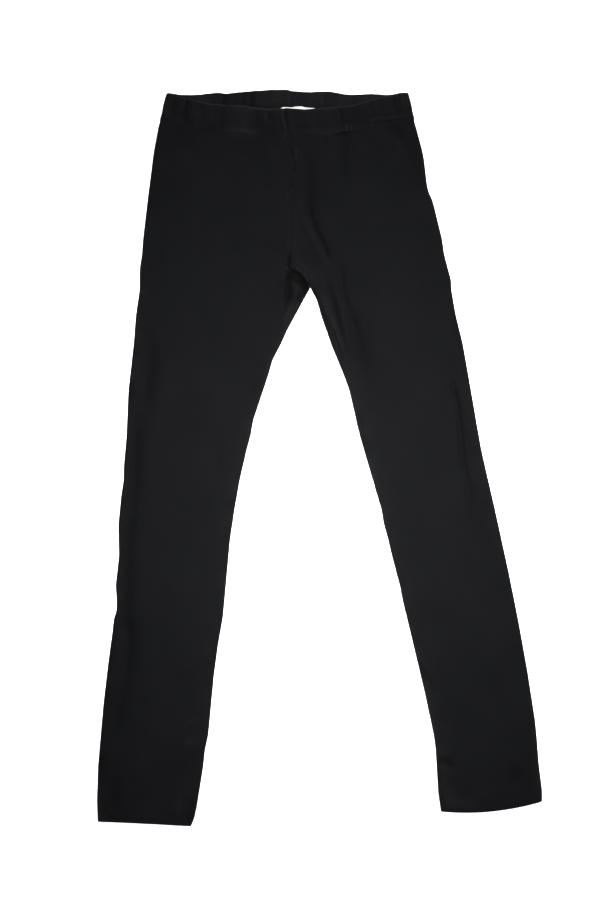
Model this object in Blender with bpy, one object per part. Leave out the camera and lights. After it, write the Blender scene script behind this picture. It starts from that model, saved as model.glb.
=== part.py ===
"""Plain black leggings, laid flat with the front up and the legs a little apart.

Each leg is one panel of jersey with no side seam. It runs from the centre front round the outside
of the leg to the centre back, and below the crotch it is joined to itself along the inside leg.
A casing with elastic in it closes the waist, and a blank label lies inside the back casing.

Frame: the garment lies on the surface z = 0. +Y points to the waist, +X to the wearer's left leg,
and the origin is under the middle of the whole garment. Sizes are in millimetres.
"""

import math
from dataclasses import dataclass

import bmesh
import bpy

MM = 0.001

# Cloth
CLOTH = 1.1               # one layer of jersey
HEM_CLOTH = 1.6           # the turned-up hem, two layers pressed together
CASING_WALL = 2.4         # the waist casing, two layers over the elastic
LAYER_GAP = 1.6           # air between the front and the back layer
SEAM_GAP = 0.3            # between two pieces that are sewn together
LEG_THICK = 2 * CLOTH + LAYER_GAP
CASING_THICK = 2 * CASING_WALL + LAYER_GAP

# Waist
CASING_HEIGHT = 32.5
CASING_SPREAD = 1.052     # the casing's lower edge is this much wider than its top edge
CENTRE_FRONT_X = -44.0    # where the centre seams meet the casing
CENTRE_BACK_X = -39.0
WAIST_FADE = 70.0         # length in which a leg settles from the casing's curve and thickness
WAIST_RISE = 1.95         # the front layer climbs this much to meet the casing's front wall

# Legs
HEM_DEPTH = 24.0
RIGHT_HEM_BOW = 0.5       # how far the middle of a hem hangs below its two corners
LEFT_HEM_BOW = 6.5
CROWN = 1.0               # the front layer's slight swell across a leg
EDGE_CALM = 12.0          # folds die out over this distance from a panel's edge

# Mesh
FRONT_STEPS = 20          # across a leg's front layer
FRONT_CROWDING = 0.45     # how much closer these steps are at the two edges
BACK_STEPS = 4
FOLD_STEPS = 4            # round a folded edge
WAIST_STEPS = 4           # from the casing down to the first row of CENTRE_FRONT
CASING_FRONT_STEPS = 46
CASING_BACK_STEPS = 22
CASING_ROWS = 4
LABEL_COLUMNS = 8
LABEL_ROWS = 4
SHARP_ANGLE = math.radians(50)

# Label, on the inner face of the back casing
LABEL_CENTRE_X = -26.0
LABEL_TOP_Y = 471.5
LABEL_WIDTH = 49.0
LABEL_HEIGHT = 25.0
LABEL_THICK = 1.0

# The casing's top edge from side to side: x, y of the front edge, y of the back edge
WAIST_EDGE = [
    (-204.0, 486.0, 486.0),
    (-188.5, 481.5, 484.5),
    (-172.5, 477.5, 484.5),
    (-155.0, 474.0, 486.5),
    (-129.5, 470.5, 486.5),
    (-99.0, 469.0, 489.0),
    (-68.0, 465.5, 491.0),
    (-39.0, 465.0, 491.5),
    (-1.5, 466.5, 489.0),
    (35.0, 469.0, 485.5),
    (55.0, 472.5, 485.0),
    (71.0, 477.5, 486.0),
    (91.0, 482.0, 484.5),
    (118.5, 486.0, 486.0),
]

# Upright puckers of the elastic across the casing's front: x, half width, height
PUCKERS = [
    (-178.0, 6.0, 0.6),
    (-152.0, 8.0, 0.5),
    (-136.0, 5.0, 0.9),
    (-121.0, 5.0, 0.8),
    (-92.0, 9.0, 0.5),
    (-66.0, 5.0, 0.6),
    (-24.0, 10.0, 0.4),
    (12.0, 9.0, 0.5),
    (32.0, 5.0, 0.8),
    (44.0, 5.0, 0.7),
    (72.0, 9.0, 0.5),
    (101.0, 5.0, 0.6),
]

# The centre-front seam, where the two legs meet, down to the crotch: x, y, mesh steps to the next
CENTRE_FRONT = [
    (-32.0, 391.0, 4),
    (-38.0, 344.5, 5),
    (-34.0, 291.0, 3),
    (-40.0, 262.0, 2),
    (-37.5, 249.5, 1),
    (-21.5, 242.5, 2),
    (-12.5, 227.5, 0),
]

# Where the same sections meet the outside fold of each leg: x, y
RIGHT_HIP = [
    (-223.5, 391.0),
    (-229.5, 344.5),
    (-235.5, 291.0),
    (-238.5, 262.0),
    (-240.0, 247.0),
    (-240.0, 236.5),
    (-240.5, 221.5),
]
LEFT_HIP = [
    (140.5, 391.0),
    (150.0, 344.5),
    (163.5, 291.0),
    (169.0, 260.5),
    (172.0, 247.0),
    (174.5, 236.5),
    (176.0, 222.5),
]

# Sections below the crotch: outside fold x, y, inside leg x, y, mesh steps from the one before
RIGHT_LEG = [
    (-245.0, 194.5, -33.0, 193.0, 3),
    (-249.0, 143.5, -59.0, 139.5, 4),
    (-255.0, 90.0, -79.0, 81.0, 3),
    (-258.5, 23.5, -97.5, 14.0, 2),
    (-264.5, -50.0, -113.0, -59.5, 2),
    (-267.5, -123.5, -122.5, -133.0, 2),
    (-271.5, -197.0, -129.5, -206.5, 2),
    (-279.5, -257.5, -138.0, -268.0, 2),
    (-287.0, -321.5, -145.5, -332.0, 2),
    (-293.0, -384.5, -153.0, -393.5, 2),
    (-296.0, -435.0, -160.5, -443.0, 2),
    (-296.0, -459.5, -167.0, -468.0, 1),
    (-295.5, -484.0, -172.0, -492.5, 2),
]
LEFT_LEG = [
    (182.5, 186.5, 6.5, 181.0, 3),
    (191.5, 150.5, 25.0, 130.5, 4),
    (200.5, 98.5, 44.0, 75.5, 3),
    (211.0, 37.0, 59.5, 14.0, 2),
    (221.5, -16.5, 74.0, -39.5, 2),
    (235.5, -79.5, 90.0, -99.5, 2),
    (250.0, -142.5, 105.5, -162.5, 2),
    (263.5, -208.0, 120.5, -226.5, 2),
    (275.0, -272.0, 135.5, -290.0, 2),
    (285.0, -333.5, 149.5, -352.5, 2),
    (291.5, -398.0, 157.0, -411.0, 2),
    (296.5, -435.0, 160.0, -447.5, 2),
    (297.0, -459.5, 165.0, -471.5, 2),
]

# Ridges of the front layer, with the creases as the troughs between them:
# start x, y, end x, y, half width, height
RIGHT_FOLDS = [
    (-190.0, 415.0, -170.0, 330.0, 22.0, 1.0),
    (-62.0, 420.0, -56.0, 300.0, 12.0, 1.2),
    (-60.0, 262.0, -66.0, 205.0, 9.0, 1.8),
    (-78.0, 240.0, -150.0, 255.0, 14.0, 1.0),
    (-233.0, 165.0, -252.0, 10.0, 7.0, 1.2),
    (-205.0, 160.0, -232.0, -20.0, 14.0, 1.0),
    (-253.0, -20.0, -272.0, -300.0, 6.0, 1.0),
    (-228.0, -110.0, -240.0, -330.0, 14.0, 1.0),
]
LEFT_FOLDS = [
    (-27.0, 372.0, -23.0, 330.0, 7.0, 1.8),
    (-22.0, 325.0, -6.0, 279.0, 11.0, 3.4),
    (4.0, 250.0, 12.0, 222.0, 9.0, 2.8),
    (14.0, 216.0, 30.0, 152.0, 5.5, 2.6),
    (-2.0, 365.0, 22.0, 302.0, 10.0, 2.2),
    (24.0, 298.0, 44.0, 240.0, 12.0, 2.4),
    (42.0, 215.0, 54.0, 120.0, 10.0, 2.2),
    (88.0, 240.0, 98.0, 110.0, 14.0, 1.2),
    (112.0, 400.0, 128.0, 200.0, 12.0, 1.0),
    (190.0, 130.0, 214.0, -40.0, 7.0, 1.4),
    (172.0, 120.0, 196.0, -50.0, 13.0, 1.2),
]


@dataclass
class Section:
    """One section across a leg, from its seam or inside fold to its outside fold."""

    outer: tuple              # the outside fold
    front: tuple              # the front layer's inner end
    back: tuple               # the back layer's inner end
    waist: float = 0.0        # 1 at the casing, 0 where its curve and thickness have faded out
    hem: float = 0.0          # 1 at the hem's edge, 0 above it
    is_tube: bool = True      # False above the crotch, where the panel is open
    is_hem: bool = False
    stand_back: float = 0.0   # how far an open panel's edge stands back from the seam line

    def cloth(self):
        """The wall's thickness here."""
        return HEM_CLOTH if self.is_hem else CLOTH

    def thickness(self):
        """The leg's whole thickness here, both layers and the air between them."""
        return LEG_THICK + WAIST_RISE * self.waist + 2 * (self.cloth() - CLOTH)


class Wall:
    """A closed wall of cloth, made of rows of points on its outer and its inner surface."""

    def __init__(self, name):
        self.name = name
        self.points = []
        self.faces = []

    def add_row(self, points):
        """Store a row of points and return their numbers."""
        first = len(self.points)
        self.points.extend(points)
        return list(range(first, len(self.points)))

    def add_strip(self, row_a, row_b):
        """Join two rows of the same length with four-sided faces."""
        for k in range(len(row_a) - 1):
            self.faces.append((row_a[k], row_a[k + 1], row_b[k + 1], row_b[k]))

    def add_ring(self, row_a, row_b):
        """Join two closed rows."""
        self.add_strip(row_a + row_a[:1], row_b + row_b[:1])

    def build(self, material):
        """Make the object, with its faces turned outwards and smooth shading."""
        mesh = bpy.data.meshes.new(self.name)
        mesh.from_pydata([(x * MM, y * MM, z * MM) for x, y, z in self.points], [], self.faces)
        work = bmesh.new()
        work.from_mesh(mesh)
        bmesh.ops.recalc_face_normals(work, faces=work.faces)
        work.to_mesh(mesh)
        work.free()
        mesh.materials.append(material)
        mesh.shade_smooth()
        mesh.set_sharp_from_angle(angle=SHARP_ANGLE)
        built = bpy.data.objects.new(self.name, mesh)
        bpy.context.collection.objects.link(built)
        return built


def mix(a, b, share):
    """The value that lies this share of the way from a to b."""
    return a + (b - a) * share


def mix_points(a, b, share):
    """The point that lies this share of the way from a to b, in the plane."""
    return mix(a[0], b[0], share), mix(a[1], b[1], share)


def ease(share):
    """A smooth step from 0 to 1, flat at both ends."""
    share = min(max(share, 0.0), 1.0)
    return share * share * (3.0 - 2.0 * share)


def bump(offset, half_width):
    """A smooth bell of height 1."""
    return math.exp(-((offset / half_width) ** 2))


def smooth_curve(before, start, end, after, share):
    """A row between start and end, on the smooth curve that also heeds their two neighbours."""
    row = []
    for a, b, c, d in zip(before, start, end, after):
        slope_in = (c - a) / 2
        slope_out = (d - b) / 2
        cubic = 2 * b - 2 * c + slope_in + slope_out
        square = -3 * b + 3 * c - 2 * slope_in - slope_out
        row.append(((cubic * share + square) * share + slope_in) * share + b)
    return row


def refine(rows, steps):
    """Smooth rows through the given ones, with this many steps from each to the next."""
    fine = []
    last = len(rows) - 1
    for i, count in enumerate(steps):
        before = rows[max(i - 1, 0)]
        after = rows[min(i + 2, last)]
        for k in range(count):
            fine.append(smooth_curve(before, rows[i], rows[i + 1], after, k / count))
    fine.append(list(rows[-1]))
    return fine


# Waist casing


def casing_x(across, down):
    """x of the casing, at a share of its width from the right side and of its height down."""
    right, left = WAIST_EDGE[0][0], WAIST_EDGE[-1][0]
    middle = (left + right) / 2
    return middle + (mix(right, left, across) - middle) * mix(1, CASING_SPREAD, down)


def casing_top_y(across, is_back):
    """y of the casing's top edge."""
    rows = WAIST_EDGE
    x = casing_x(across, 0)
    i = next(k for k in range(len(rows) - 1) if x <= rows[k + 1][0] or k == len(rows) - 2)
    share = (x - rows[i][0]) / (rows[i + 1][0] - rows[i][0])
    before = rows[max(i - 1, 0)]
    after = rows[min(i + 2, len(rows) - 1)]
    return smooth_curve(before, rows[i], rows[i + 1], after, share)[1 + is_back]


def casing_share(x):
    """The share of the casing's width at x on its lower edge."""
    return (x - casing_x(0, 1)) / (casing_x(1, 1) - casing_x(0, 1))


def fold_share(thickness):
    """The share of the casing's width that lies in one side fold of this thickness."""
    return casing_share(casing_x(0, 1) + thickness / 2)


def casing_low_y(across, is_back):
    """y of the casing's lower edge, which is straight between the leg columns sewn to it."""
    centre = casing_share(CENTRE_BACK_X if is_back else CENTRE_FRONT_X)
    fold = fold_share(LEG_THICK + WAIST_RISE)
    knots = {0.0, 1.0}
    for share in column_shares(is_back):
        knots.add(mix(centre, fold, share))
        knots.add(mix(centre, 1 - fold, share))
    low = max(knot for knot in knots if knot < across or knot == 0)
    high = min(knot for knot in knots if knot > low)
    low_y = casing_top_y(low, is_back)
    high_y = casing_top_y(high, is_back)
    return mix(low_y, high_y, (across - low) / (high - low)) - CASING_HEIGHT


def casing_layer(first, last, steps, down, is_back, z):
    """A row of points along one wall of the casing."""
    points = []
    for k in range(steps + 1):
        across = mix(first, last, k / steps)
        y = mix(casing_top_y(across, is_back), casing_low_y(across, is_back), down)
        points.append((casing_x(across, down), y, z))
    return points


def casing_ring(down, inset):
    """One level of the casing: its front wall, the left fold, its back wall and the right fold."""
    radius = CASING_THICK / 2 - inset
    tuck = fold_share(CASING_THICK)
    front = []
    for x, y, z in casing_layer(tuck, 1 - tuck, CASING_FRONT_STEPS, down, False, CASING_THICK - inset):
        puckers = sum(tall * bump(x - at, half_width) for at, half_width, tall in PUCKERS)
        front.append((x, y, z + puckers))
    back = casing_layer(1 - tuck, tuck, CASING_BACK_STEPS, down, True, inset)
    left_tip = (casing_x(1, down), mix(front[-1][1], back[0][1], 0.5))
    right_tip = (casing_x(0, down), mix(front[0][1], back[-1][1], 0.5))
    left_fold = fold_points(front[-1], back[0], left_tip, CASING_THICK, radius, 90)
    right_fold = fold_points(back[-1], front[0], right_tip, CASING_THICK, radius, -90)
    return front + left_fold + back + right_fold


def build_casing(material):
    """The waist casing, a flattened ring whose front edge dips below its back edge."""
    wall = Wall("waistband")
    outer = []
    inner = []
    for row in range(CASING_ROWS + 1):
        outer.append(wall.add_row(casing_ring(row / CASING_ROWS, 0.0)))
        inner.append(wall.add_row(casing_ring(row / CASING_ROWS, CASING_WALL)))
    for rows in (outer, inner):
        for upper, lower in zip(rows, rows[1:]):
            wall.add_ring(upper, lower)
    for end in (0, -1):
        wall.add_ring(outer[end], inner[end])
    return wall.build(material)


# Legs


def column_shares(is_back):
    """How far each column of a leg's layer lies from its inner end (0) to its outer end (1)."""
    if is_back:
        return [k / BACK_STEPS for k in range(BACK_STEPS + 1)]
    shares = []
    for k in range(FRONT_STEPS + 1):
        even = k / FRONT_STEPS
        shares.append(even - FRONT_CROWDING * math.sin(2 * math.pi * even) / (2 * math.pi))
    return shares


def hip_sections(hip, outer_share):
    """The open sections from the casing down to the crotch, which is the first closed one."""
    tuck = abs(outer_share - fold_share(LEG_THICK + WAIST_RISE))
    tip_y = mix(casing_low_y(tuck, False), casing_low_y(tuck, True), 0.5) - SEAM_GAP
    tip = (casing_x(outer_share, 1), tip_y)
    front_y = casing_low_y(casing_share(CENTRE_FRONT_X), False) - SEAM_GAP
    back_y = casing_low_y(casing_share(CENTRE_BACK_X), True) - SEAM_GAP
    folds = [tip] + hip
    seam = [(CENTRE_FRONT_X, front_y)] + [row[:2] for row in CENTRE_FRONT]
    steps = [WAIST_STEPS] + [row[2] for row in CENTRE_FRONT[:-1]]
    crotch_x, crotch_y, _ = CENTRE_FRONT[-1]
    sections = []
    for row in refine([(*fold, *point) for fold, point in zip(folds, seam)], steps):
        share = (front_y - row[3]) / (front_y - crotch_y)
        back = (mix(CENTRE_BACK_X, crotch_x, share ** 3), mix(back_y, crotch_y, share))
        waist = max(1 - (front_y - row[3]) / WAIST_FADE, 0.0) ** 2
        sections.append(Section(row[:2], row[2:], back, waist=waist, is_tube=False))
    sections[-1].is_tube = True
    for above, here, below in zip(sections[:1] + sections, sections, sections[1:] + sections[-1:]):
        here.stand_back = seam_offset(above.front, here, below.front)
    return sections


def seam_offset(above, section, below):
    """How far along its section a panel's edge stands back from the seam line."""
    seam = (below[0] - above[0], below[1] - above[1])
    run = (section.outer[0] - section.front[0], section.outer[1] - section.front[1])
    cross = abs(seam[0] * run[1] - seam[1] * run[0])
    return SEAM_GAP / 2 * math.hypot(*seam) * math.hypot(*run) / cross


def tube_sections(hip, leg):
    """The closed sections below the crotch, down to the hem."""
    outer = refine(hip[-2:] + [row[:2] for row in leg], [1] + [row[4] for row in leg])[2:]
    inner = refine([CENTRE_FRONT[-1][:2]] + [row[2:4] for row in leg], [row[4] for row in leg])[1:]
    hem_y = leg[-1][1]
    sections = []
    for fold, inside in zip(outer, inner):
        above = fold[1] - hem_y
        hem = 1 - ease(above / (2 * HEM_DEPTH))
        sections.append(Section(fold, inside, inside, hem=hem, is_hem=above < HEM_DEPTH))
    return sections


def ridge_height(folds, x, y):
    """How far the folds lift the front layer at a point."""
    height = 0.0
    for start_x, start_y, end_x, end_y, half_width, tall in folds:
        run_x = end_x - start_x
        run_y = end_y - start_y
        length = math.hypot(run_x, run_y)
        along = ((x - start_x) * run_x + (y - start_y) * run_y) / length
        aside = ((x - start_x) * run_y - (y - start_y) * run_x) / length
        past_end = max(-along, along - length, 0.0)
        height += tall * bump(aside, half_width) * bump(past_end, 2 * half_width)
    return height


def fold_points(start, end, tip, thickness, radius, first_angle):
    """The points round a folded edge, between the last of one layer and the first of the other."""
    middle = mix_points(start, end, 0.5)
    reach = math.dist(tip, middle)
    away = ((tip[0] - middle[0]) / reach, (tip[1] - middle[1]) / reach)
    points = []
    for k in range(1, FOLD_STEPS):
        share = k / FOLD_STEPS
        angle = math.radians(first_angle * (1 - 2 * share))
        x, y = mix_points(start, end, share)
        out = radius * math.cos(angle)
        points.append((x + away[0] * out, y + away[1] * out, thickness / 2 + radius * math.sin(angle)))
    return points


def layer_line(section, top, is_back, hem_bow):
    """One layer of a section in the plane, with each point's distance from the line's two ends."""
    inner = section.back if is_back else section.front
    top_inner = top.back if is_back else top.front
    length = math.dist(inner, section.outer)
    half = section.thickness() / 2
    first = (half if section.is_tube else section.stand_back) / length
    last = 1 - half / length
    points = []
    for column in column_shares(is_back):
        share = mix(first, last, column)
        x, y = mix_points(inner, section.outer, share)
        if section.waist > 0:
            top_x, top_y = mix_points(top_inner, top.outer, share)
            sewn_y = casing_low_y(casing_share(top_x), is_back) - SEAM_GAP
            y += (sewn_y - top_y) * section.waist
        y -= hem_bow * section.hem * 4 * share * (1 - share)
        points.append((x, y, (share - first) * length, (last - share) * length))
    return points


def section_points(section, top, hem_bow, folds, is_inner):
    """A section's closed or open row: front layer, outside fold, back layer, inside fold."""
    inset = section.cloth() if is_inner else 0.0
    thickness = section.thickness()
    radius = thickness / 2 - inset
    front = []
    for x, y, from_inner, from_outer in layer_line(section, top, False, hem_bow):
        calm = ease(from_inner / EDGE_CALM) * ease(from_outer / EDGE_CALM) * (1 - section.waist)
        crown = CROWN * 4 * from_inner * from_outer / (from_inner + from_outer) ** 2
        front.append((x, y, thickness - inset + crown + calm * ridge_height(folds, x, y)))
    back = [(x, y, inset) for x, y, _, _ in layer_line(section, top, True, hem_bow)]
    back.reverse()
    points = front + fold_points(front[-1], back[0], section.outer, thickness, radius, 90) + back
    if section.is_tube:
        points += fold_points(back[-1], front[0], section.front, thickness, radius, -90)
    return points


def build_leg(name, outer_share, hip, leg, hem_bow, folds, material):
    """One leg panel: open above the crotch and a flattened tube below it."""
    hips = hip_sections(hip, outer_share)
    crotch = len(hips) - 1
    sections = hips + tube_sections(hip, leg)
    wall = Wall(name)
    outer = [wall.add_row(section_points(s, hips[0], hem_bow, folds, False)) for s in sections]
    inner = [wall.add_row(section_points(s, hips[0], hem_bow, folds, True)) for s in sections]
    open_count = len(outer[0])
    for rows in (outer, inner):
        for i, (upper, lower) in enumerate(zip(rows, rows[1:])):
            if i < crotch:
                wall.add_strip(upper[:open_count], lower[:open_count])
            else:
                wall.add_ring(upper, lower)
    # The cut edges: at the casing, along the two centre seams, over the crotch and at the hem
    wall.add_strip(outer[0], inner[0])
    for edge in (0, open_count - 1):
        wall.add_strip(
            [row[edge] for row in outer[:crotch + 1]],
            [row[edge] for row in inner[:crotch + 1]],
        )
    saddle = [*range(open_count - 1, len(outer[crotch])), 0]
    wall.add_strip([outer[crotch][k] for k in saddle], [inner[crotch][k] for k in saddle])
    wall.add_ring(outer[-1], inner[-1])
    return wall.build(material)


# Label


def build_label(material):
    """A blank woven label, lying on the inner face of the back casing."""
    wall = Wall("label")
    lower = []
    upper = []
    for row in range(LABEL_ROWS + 1):
        y = LABEL_TOP_Y - LABEL_HEIGHT * row / LABEL_ROWS
        for rows, z in ((lower, CASING_WALL + SEAM_GAP), (upper, CASING_WALL + SEAM_GAP + LABEL_THICK)):
            points = []
            for k in range(LABEL_COLUMNS + 1):
                points.append((LABEL_CENTRE_X + LABEL_WIDTH * (k / LABEL_COLUMNS - 0.5), y, z))
            rows.append(wall.add_row(points))
    for rows in (lower, upper):
        for above, below in zip(rows, rows[1:]):
            wall.add_strip(above, below)
    for end in (0, -1):
        wall.add_strip(lower[end], upper[end])
        wall.add_strip([row[end] for row in lower], [row[end] for row in upper])
    return wall.build(material)


# The whole garment


def make_material(name, colour, roughness):
    """A plain cloth material."""
    material = bpy.data.materials.new(name)
    material.use_nodes = True
    shader = material.node_tree.nodes["Principled BSDF"]
    shader.inputs["Base Color"].default_value = (*colour, 1.0)
    shader.inputs["Roughness"].default_value = roughness
    shader.inputs["Metallic"].default_value = 0.0
    return material


def clear_scene():
    """Remove what the file holds, so that only the garment is left."""
    for old in list(bpy.data.objects):
        bpy.data.objects.remove(old, do_unlink=True)


def build_leggings():
    """Build every piece."""
    clear_scene()
    jersey = make_material("black_jersey", (0.012, 0.012, 0.0135), 0.85)
    casing_cloth = make_material("black_casing", (0.011, 0.011, 0.0125), 0.85)
    label_cloth = make_material("white_label", (0.8, 0.8, 0.79), 0.7)
    build_leg("leg_right", 0.0, RIGHT_HIP, RIGHT_LEG, RIGHT_HEM_BOW, RIGHT_FOLDS, jersey)
    build_leg("leg_left", 1.0, LEFT_HIP, LEFT_LEG, LEFT_HEM_BOW, LEFT_FOLDS, jersey)
    build_casing(casing_cloth)
    build_label(label_cloth)


build_leggings()
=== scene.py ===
"""Plain black leggings laid flat: the visible cloth and sewing, their materials, floor, light and camera.

Lengths are in millimetres until a mesh is made from them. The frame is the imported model's: the garment
lies on z = 0, +Y points to the waist, +X to the wearer's left leg.
"""

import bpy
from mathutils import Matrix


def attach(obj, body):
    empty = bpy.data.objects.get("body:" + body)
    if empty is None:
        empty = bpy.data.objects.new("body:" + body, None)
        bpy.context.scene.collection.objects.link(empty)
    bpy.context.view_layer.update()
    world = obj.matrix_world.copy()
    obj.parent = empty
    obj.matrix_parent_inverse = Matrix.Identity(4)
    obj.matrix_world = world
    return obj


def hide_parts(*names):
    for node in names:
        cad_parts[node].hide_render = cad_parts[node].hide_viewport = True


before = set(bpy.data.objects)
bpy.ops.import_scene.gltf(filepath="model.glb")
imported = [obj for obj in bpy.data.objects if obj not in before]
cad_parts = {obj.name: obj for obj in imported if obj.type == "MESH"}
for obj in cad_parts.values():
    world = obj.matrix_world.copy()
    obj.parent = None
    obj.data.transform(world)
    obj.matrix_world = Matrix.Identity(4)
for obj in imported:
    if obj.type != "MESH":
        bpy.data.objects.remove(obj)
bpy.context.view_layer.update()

import math
from dataclasses import dataclass

import bmesh
import bpy
import numpy as np
from mathutils import Vector, noise

MM = 0.001

# Cloth
CLOTH = 0.75              # one layer of jersey
HEM_CLOTH = 1.05          # the turned-up hem, two layers stitched together
HEM_TALL = 22.0           # height of the hem
HEM_STEP = 4.0            # and the length in which its second layer ends
HEM_EASE = 48.0           # the bow of the hem's edge dies out this far above it
HEM_FOLD_SHARE = 0.7      # share of the hem's extra thickness that is left at the folded edges
LEG_THICK = 3.8           # a leg from the surface to its flat top
OUTER_LOW = 3.4           # height of the front layer where it turns into the outside fold
OUTER_ROUND = 4.0         # distance from that fold in which it reaches its full height
CASING_THICK = 6.4        # the waist casing, both walls and the air between them
CASING_WALL = 2.4         # one wall of the casing, two layers over the elastic
WAIST_RISE = 1.95         # the front layer climbs this much to meet the casing
WAIST_FADE = 70.0         # length in which a leg settles from the casing's curve and height
WAIST_BLEND = 6.0         # length in which the front layer leaves the casing's face
OUTER_BLEND = 12.0        # length in which the outside fold leaves the casing's end
CROWN = 0.9               # slight swell of the front layer across a leg
FRONT_FLOOR = 0.2         # least air between the two layers
FRONT_SOFT = 0.18         # how gently the front layer comes to rest on that
CROTCH_TUCK = 0.12        # share of a fold's roundness that is left at the crotch
TUCK_EASE = 6.0           # and how far below the crotch it is whole
FOLD_LEAST = 0.15         # least bulge of a folded edge
SEAM_GROOVE = 0.5         # the centre back seam is drawn in this deep
SEAM_ROUND = 1.6          # over this distance from it
BACK_CALM = 10.0          # the back layer's wrinkles die out this near its ends
EDGE_WEAR_AND_HIGHLIGHT_REACH = 6.0           # how far the painted highlight and wear of a folded edge reaches
BAND_WEAR_AND_HIGHLIGHT_REACH = 17.0          # and the softer band beside the inside fold
WEAR_AND_HIGHLIGHT_MEAN = 0.9           # share of that painted highlight and wear which shows
WEAR_AND_HIGHLIGHT_LIMITS = (0.2, 1.6)  # and between what it stays, patch by patch
CLEAR = 0.04              # half the gap that keeps the two legs' cloth apart along the centre seams

# Slow unevenness: height and length of its waves, and the seed
WIDE_RIPPLE = (0.7, 46.0, 1.5)
FINE_RIPPLE = (0.28, 15.0, 6.5)
BACK_RIPPLE = (0.5, 34.0, 21.0)
WEAR_AND_HIGHLIGHT_RIPPLE = (1.2, 16.0, 31.0)
FRONT_PUCKERS = (0.32, 5.5, 3.1)
BACK_PUCKERS = (0.32, 5.5, 8.7)
RIM_RIPPLE = (0.35, 6.0, 5.5)
RIM_WEAR_AND_HIGHLIGHT_RIPPLE = (0.6, 9.0, 2.2)
RIPPLE_LONG = 1.6         # the waves are this much longer along y than along x

# Waist casing: x, y of the front edge, y of the back edge
WAIST_EDGE = [
    (-204, 486.5, 487), (-196.5, 485, 487), (-188.5, 481.8, 484.8), (-172.5, 478, 484.3),
    (-156, 474.3, 485.2), (-145.5, 472, 487), (-132, 470.8, 487.3), (-124, 470.2, 485.8),
    (-116, 470, 487.2), (-100, 469.4, 488.7), (-85.5, 466.8, 490), (-68, 465.3, 491.2),
    (-52, 465.7, 491.6), (-44, 466, 491.6), (-36, 465.9, 489.8), (-29, 464.8, 489.1), (-20, 464.1, 488.4),
    (-12, 465, 488.1), (4, 466.8, 489.3), (14.5, 467.3, 489.2), (28, 468.6, 486.2), (41.5, 469.6, 484.6),
    (55, 472.6, 485.2), (68, 476.7, 486.1), (79, 480, 485.2), (91, 481.8, 484.3), (100, 483.5, 485.8),
    (110, 486, 487.6), (118.5, 487, 487.6),
]
CASING_HEIGHT = 32.5
CASING_SPREAD = 1.052     # the casing's lower edge is this much wider than its top edge
CASING_MIDDLE = (WAIST_EDGE[0][0] + WAIST_EDGE[-1][0]) / 2
CENTRE_BACK_X = -39.0
STITCH_ROWS = (25.8, 30.4)      # the casing's two stitch rows, below its top edge
HEM_STITCH_ROWS = (18.5, 23.5)  # the hem's, above its edge
ELASTIC_TALL = 24.0       # the elastic fills the casing down to here
ELASTIC_SWELL = 0.3       # and swells half the wall by this much at its middle
SWELL_FULLNESS = 0.7      # below 1 the swell is fuller than a sine
PINCH_FROM, PINCH_OVER = 18.0, 9.0  # the stitches pinch the wall from here, over this length
PINCHED_HALF = 0.75       # half the wall's thickness there
BETWEEN_ROWS = (0.1, 1.4)  # height and half width of the soft roll between the two stitch rows
FACE_FOCUS = 4            # how quickly the gathers of front and back die out round the casing's ends
EDGE_SOFT, FACE_SOFT = 4.0, 3.0  # lengths over which its edges' and its faces' tables are softened
# Where the casing's lower edge sags: x, by how much
CASING_SAG = [
    (-144, 0), (-124, 1.9), (-112, 2.4), (-102, 3.1), (-88, 3.3), (-64, 0), (-14, 0), (4, 2.3), (18, 2.7),
    (30, 1), (48, 0),
]

# Gathers of the elastic on the casing's front: x at the top, half width, height, from and to below the top
GATHERS = [
    (-200, 2, 0.5, 0, 26), (-193, 2.2, -0.7, 2, 22), (-185, 3, 0.3, 0, 24), (-177.5, 2.2, -0.9, 0, 30),
    (-168, 3.5, 0.5, 0, 30), (-157, 2.5, -0.4, 6, 30), (-147, 4, 0.4, 3, 30), (-135, 2.6, 0.4, 0, 32.5),
    (-129.3, 2.2, -0.25, 0, 32.5), (-124, 2.6, 0.4, 0, 32.5), (-103, 5, 0.4, 0, 24),
    (-84, 2.8, -0.35, 8, 32.5), (-71.5, 1.5, 0.5, 9, 19), (-69, 1.5, -0.6, 7, 23), (-59, 4, 0.5, 0, 30),
    (-22, 7, 0.4, 0, 32.5), (-6, 2.5, -0.4, 12, 32.5), (10, 6, 0.5, 4, 30), (26, 2.6, -0.5, 6, 32.5),
    (34.2, 1.2, -0.4, 20, 32.5), (40, 1.2, -0.4, 20, 32.5), (52, 5, 0.4, 0, 30), (66, 2.6, -0.3, 4, 32.5),
    (84, 5, 0.3, 8, 30), (97, 2.2, -0.35, 4, 28), (107, 3, 0.5, 2, 30),
]
# The same on the inside of the back wall
BACK_GATHERS = [
    (-190, 2.5, 0.5, 0, 32.5), (-160, 5, 0.5, 0, 32.5), (-137, 4, 0.6, 0, 32.5), (-128, 1.8, -1, 0, 32.5),
    (-119, 3, 0.4, 0, 32.5), (-103, 5, -0.5, 0, 32.5), (-92, 2, -0.7, 0, 32.5), (-84, 2, 0.5, 0, 32.5),
    (-62, 6, 0.6, 0, 32.5), (-14, 6, 0.4, 0, 32.5), (6, 3, -0.5, 0, 32.5), (24, 4, 0.4, 0, 32.5),
    (42, 3, -0.5, 0, 32.5), (58, 4, 0.5, 0, 32.5),
]
GATHER_STRENGTH = 1.5     # every gather is this much higher than its row says
GATHER_FADE = 3.0         # length in which a gather begins and ends
GATHER_HELD = 0.35        # share of it that is left at the stitched lower edge
HELD_FROM, HELD_OVER = 23.0, 8.0  # it is held from here, over this length
PUCKER_STEEP = 0.3        # the fine puckers between the gathers run this much slower down the wall
PUCKER_LEAST = 0.55       # they are this strong where they are weakest
PUCKER_CALMEST = 0.9      # which is here, of 2 from the top edge to the lower one
SEAM_CATCH = 0.9          # how far the leg panels' front reaches into the casing's lower edge
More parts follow.
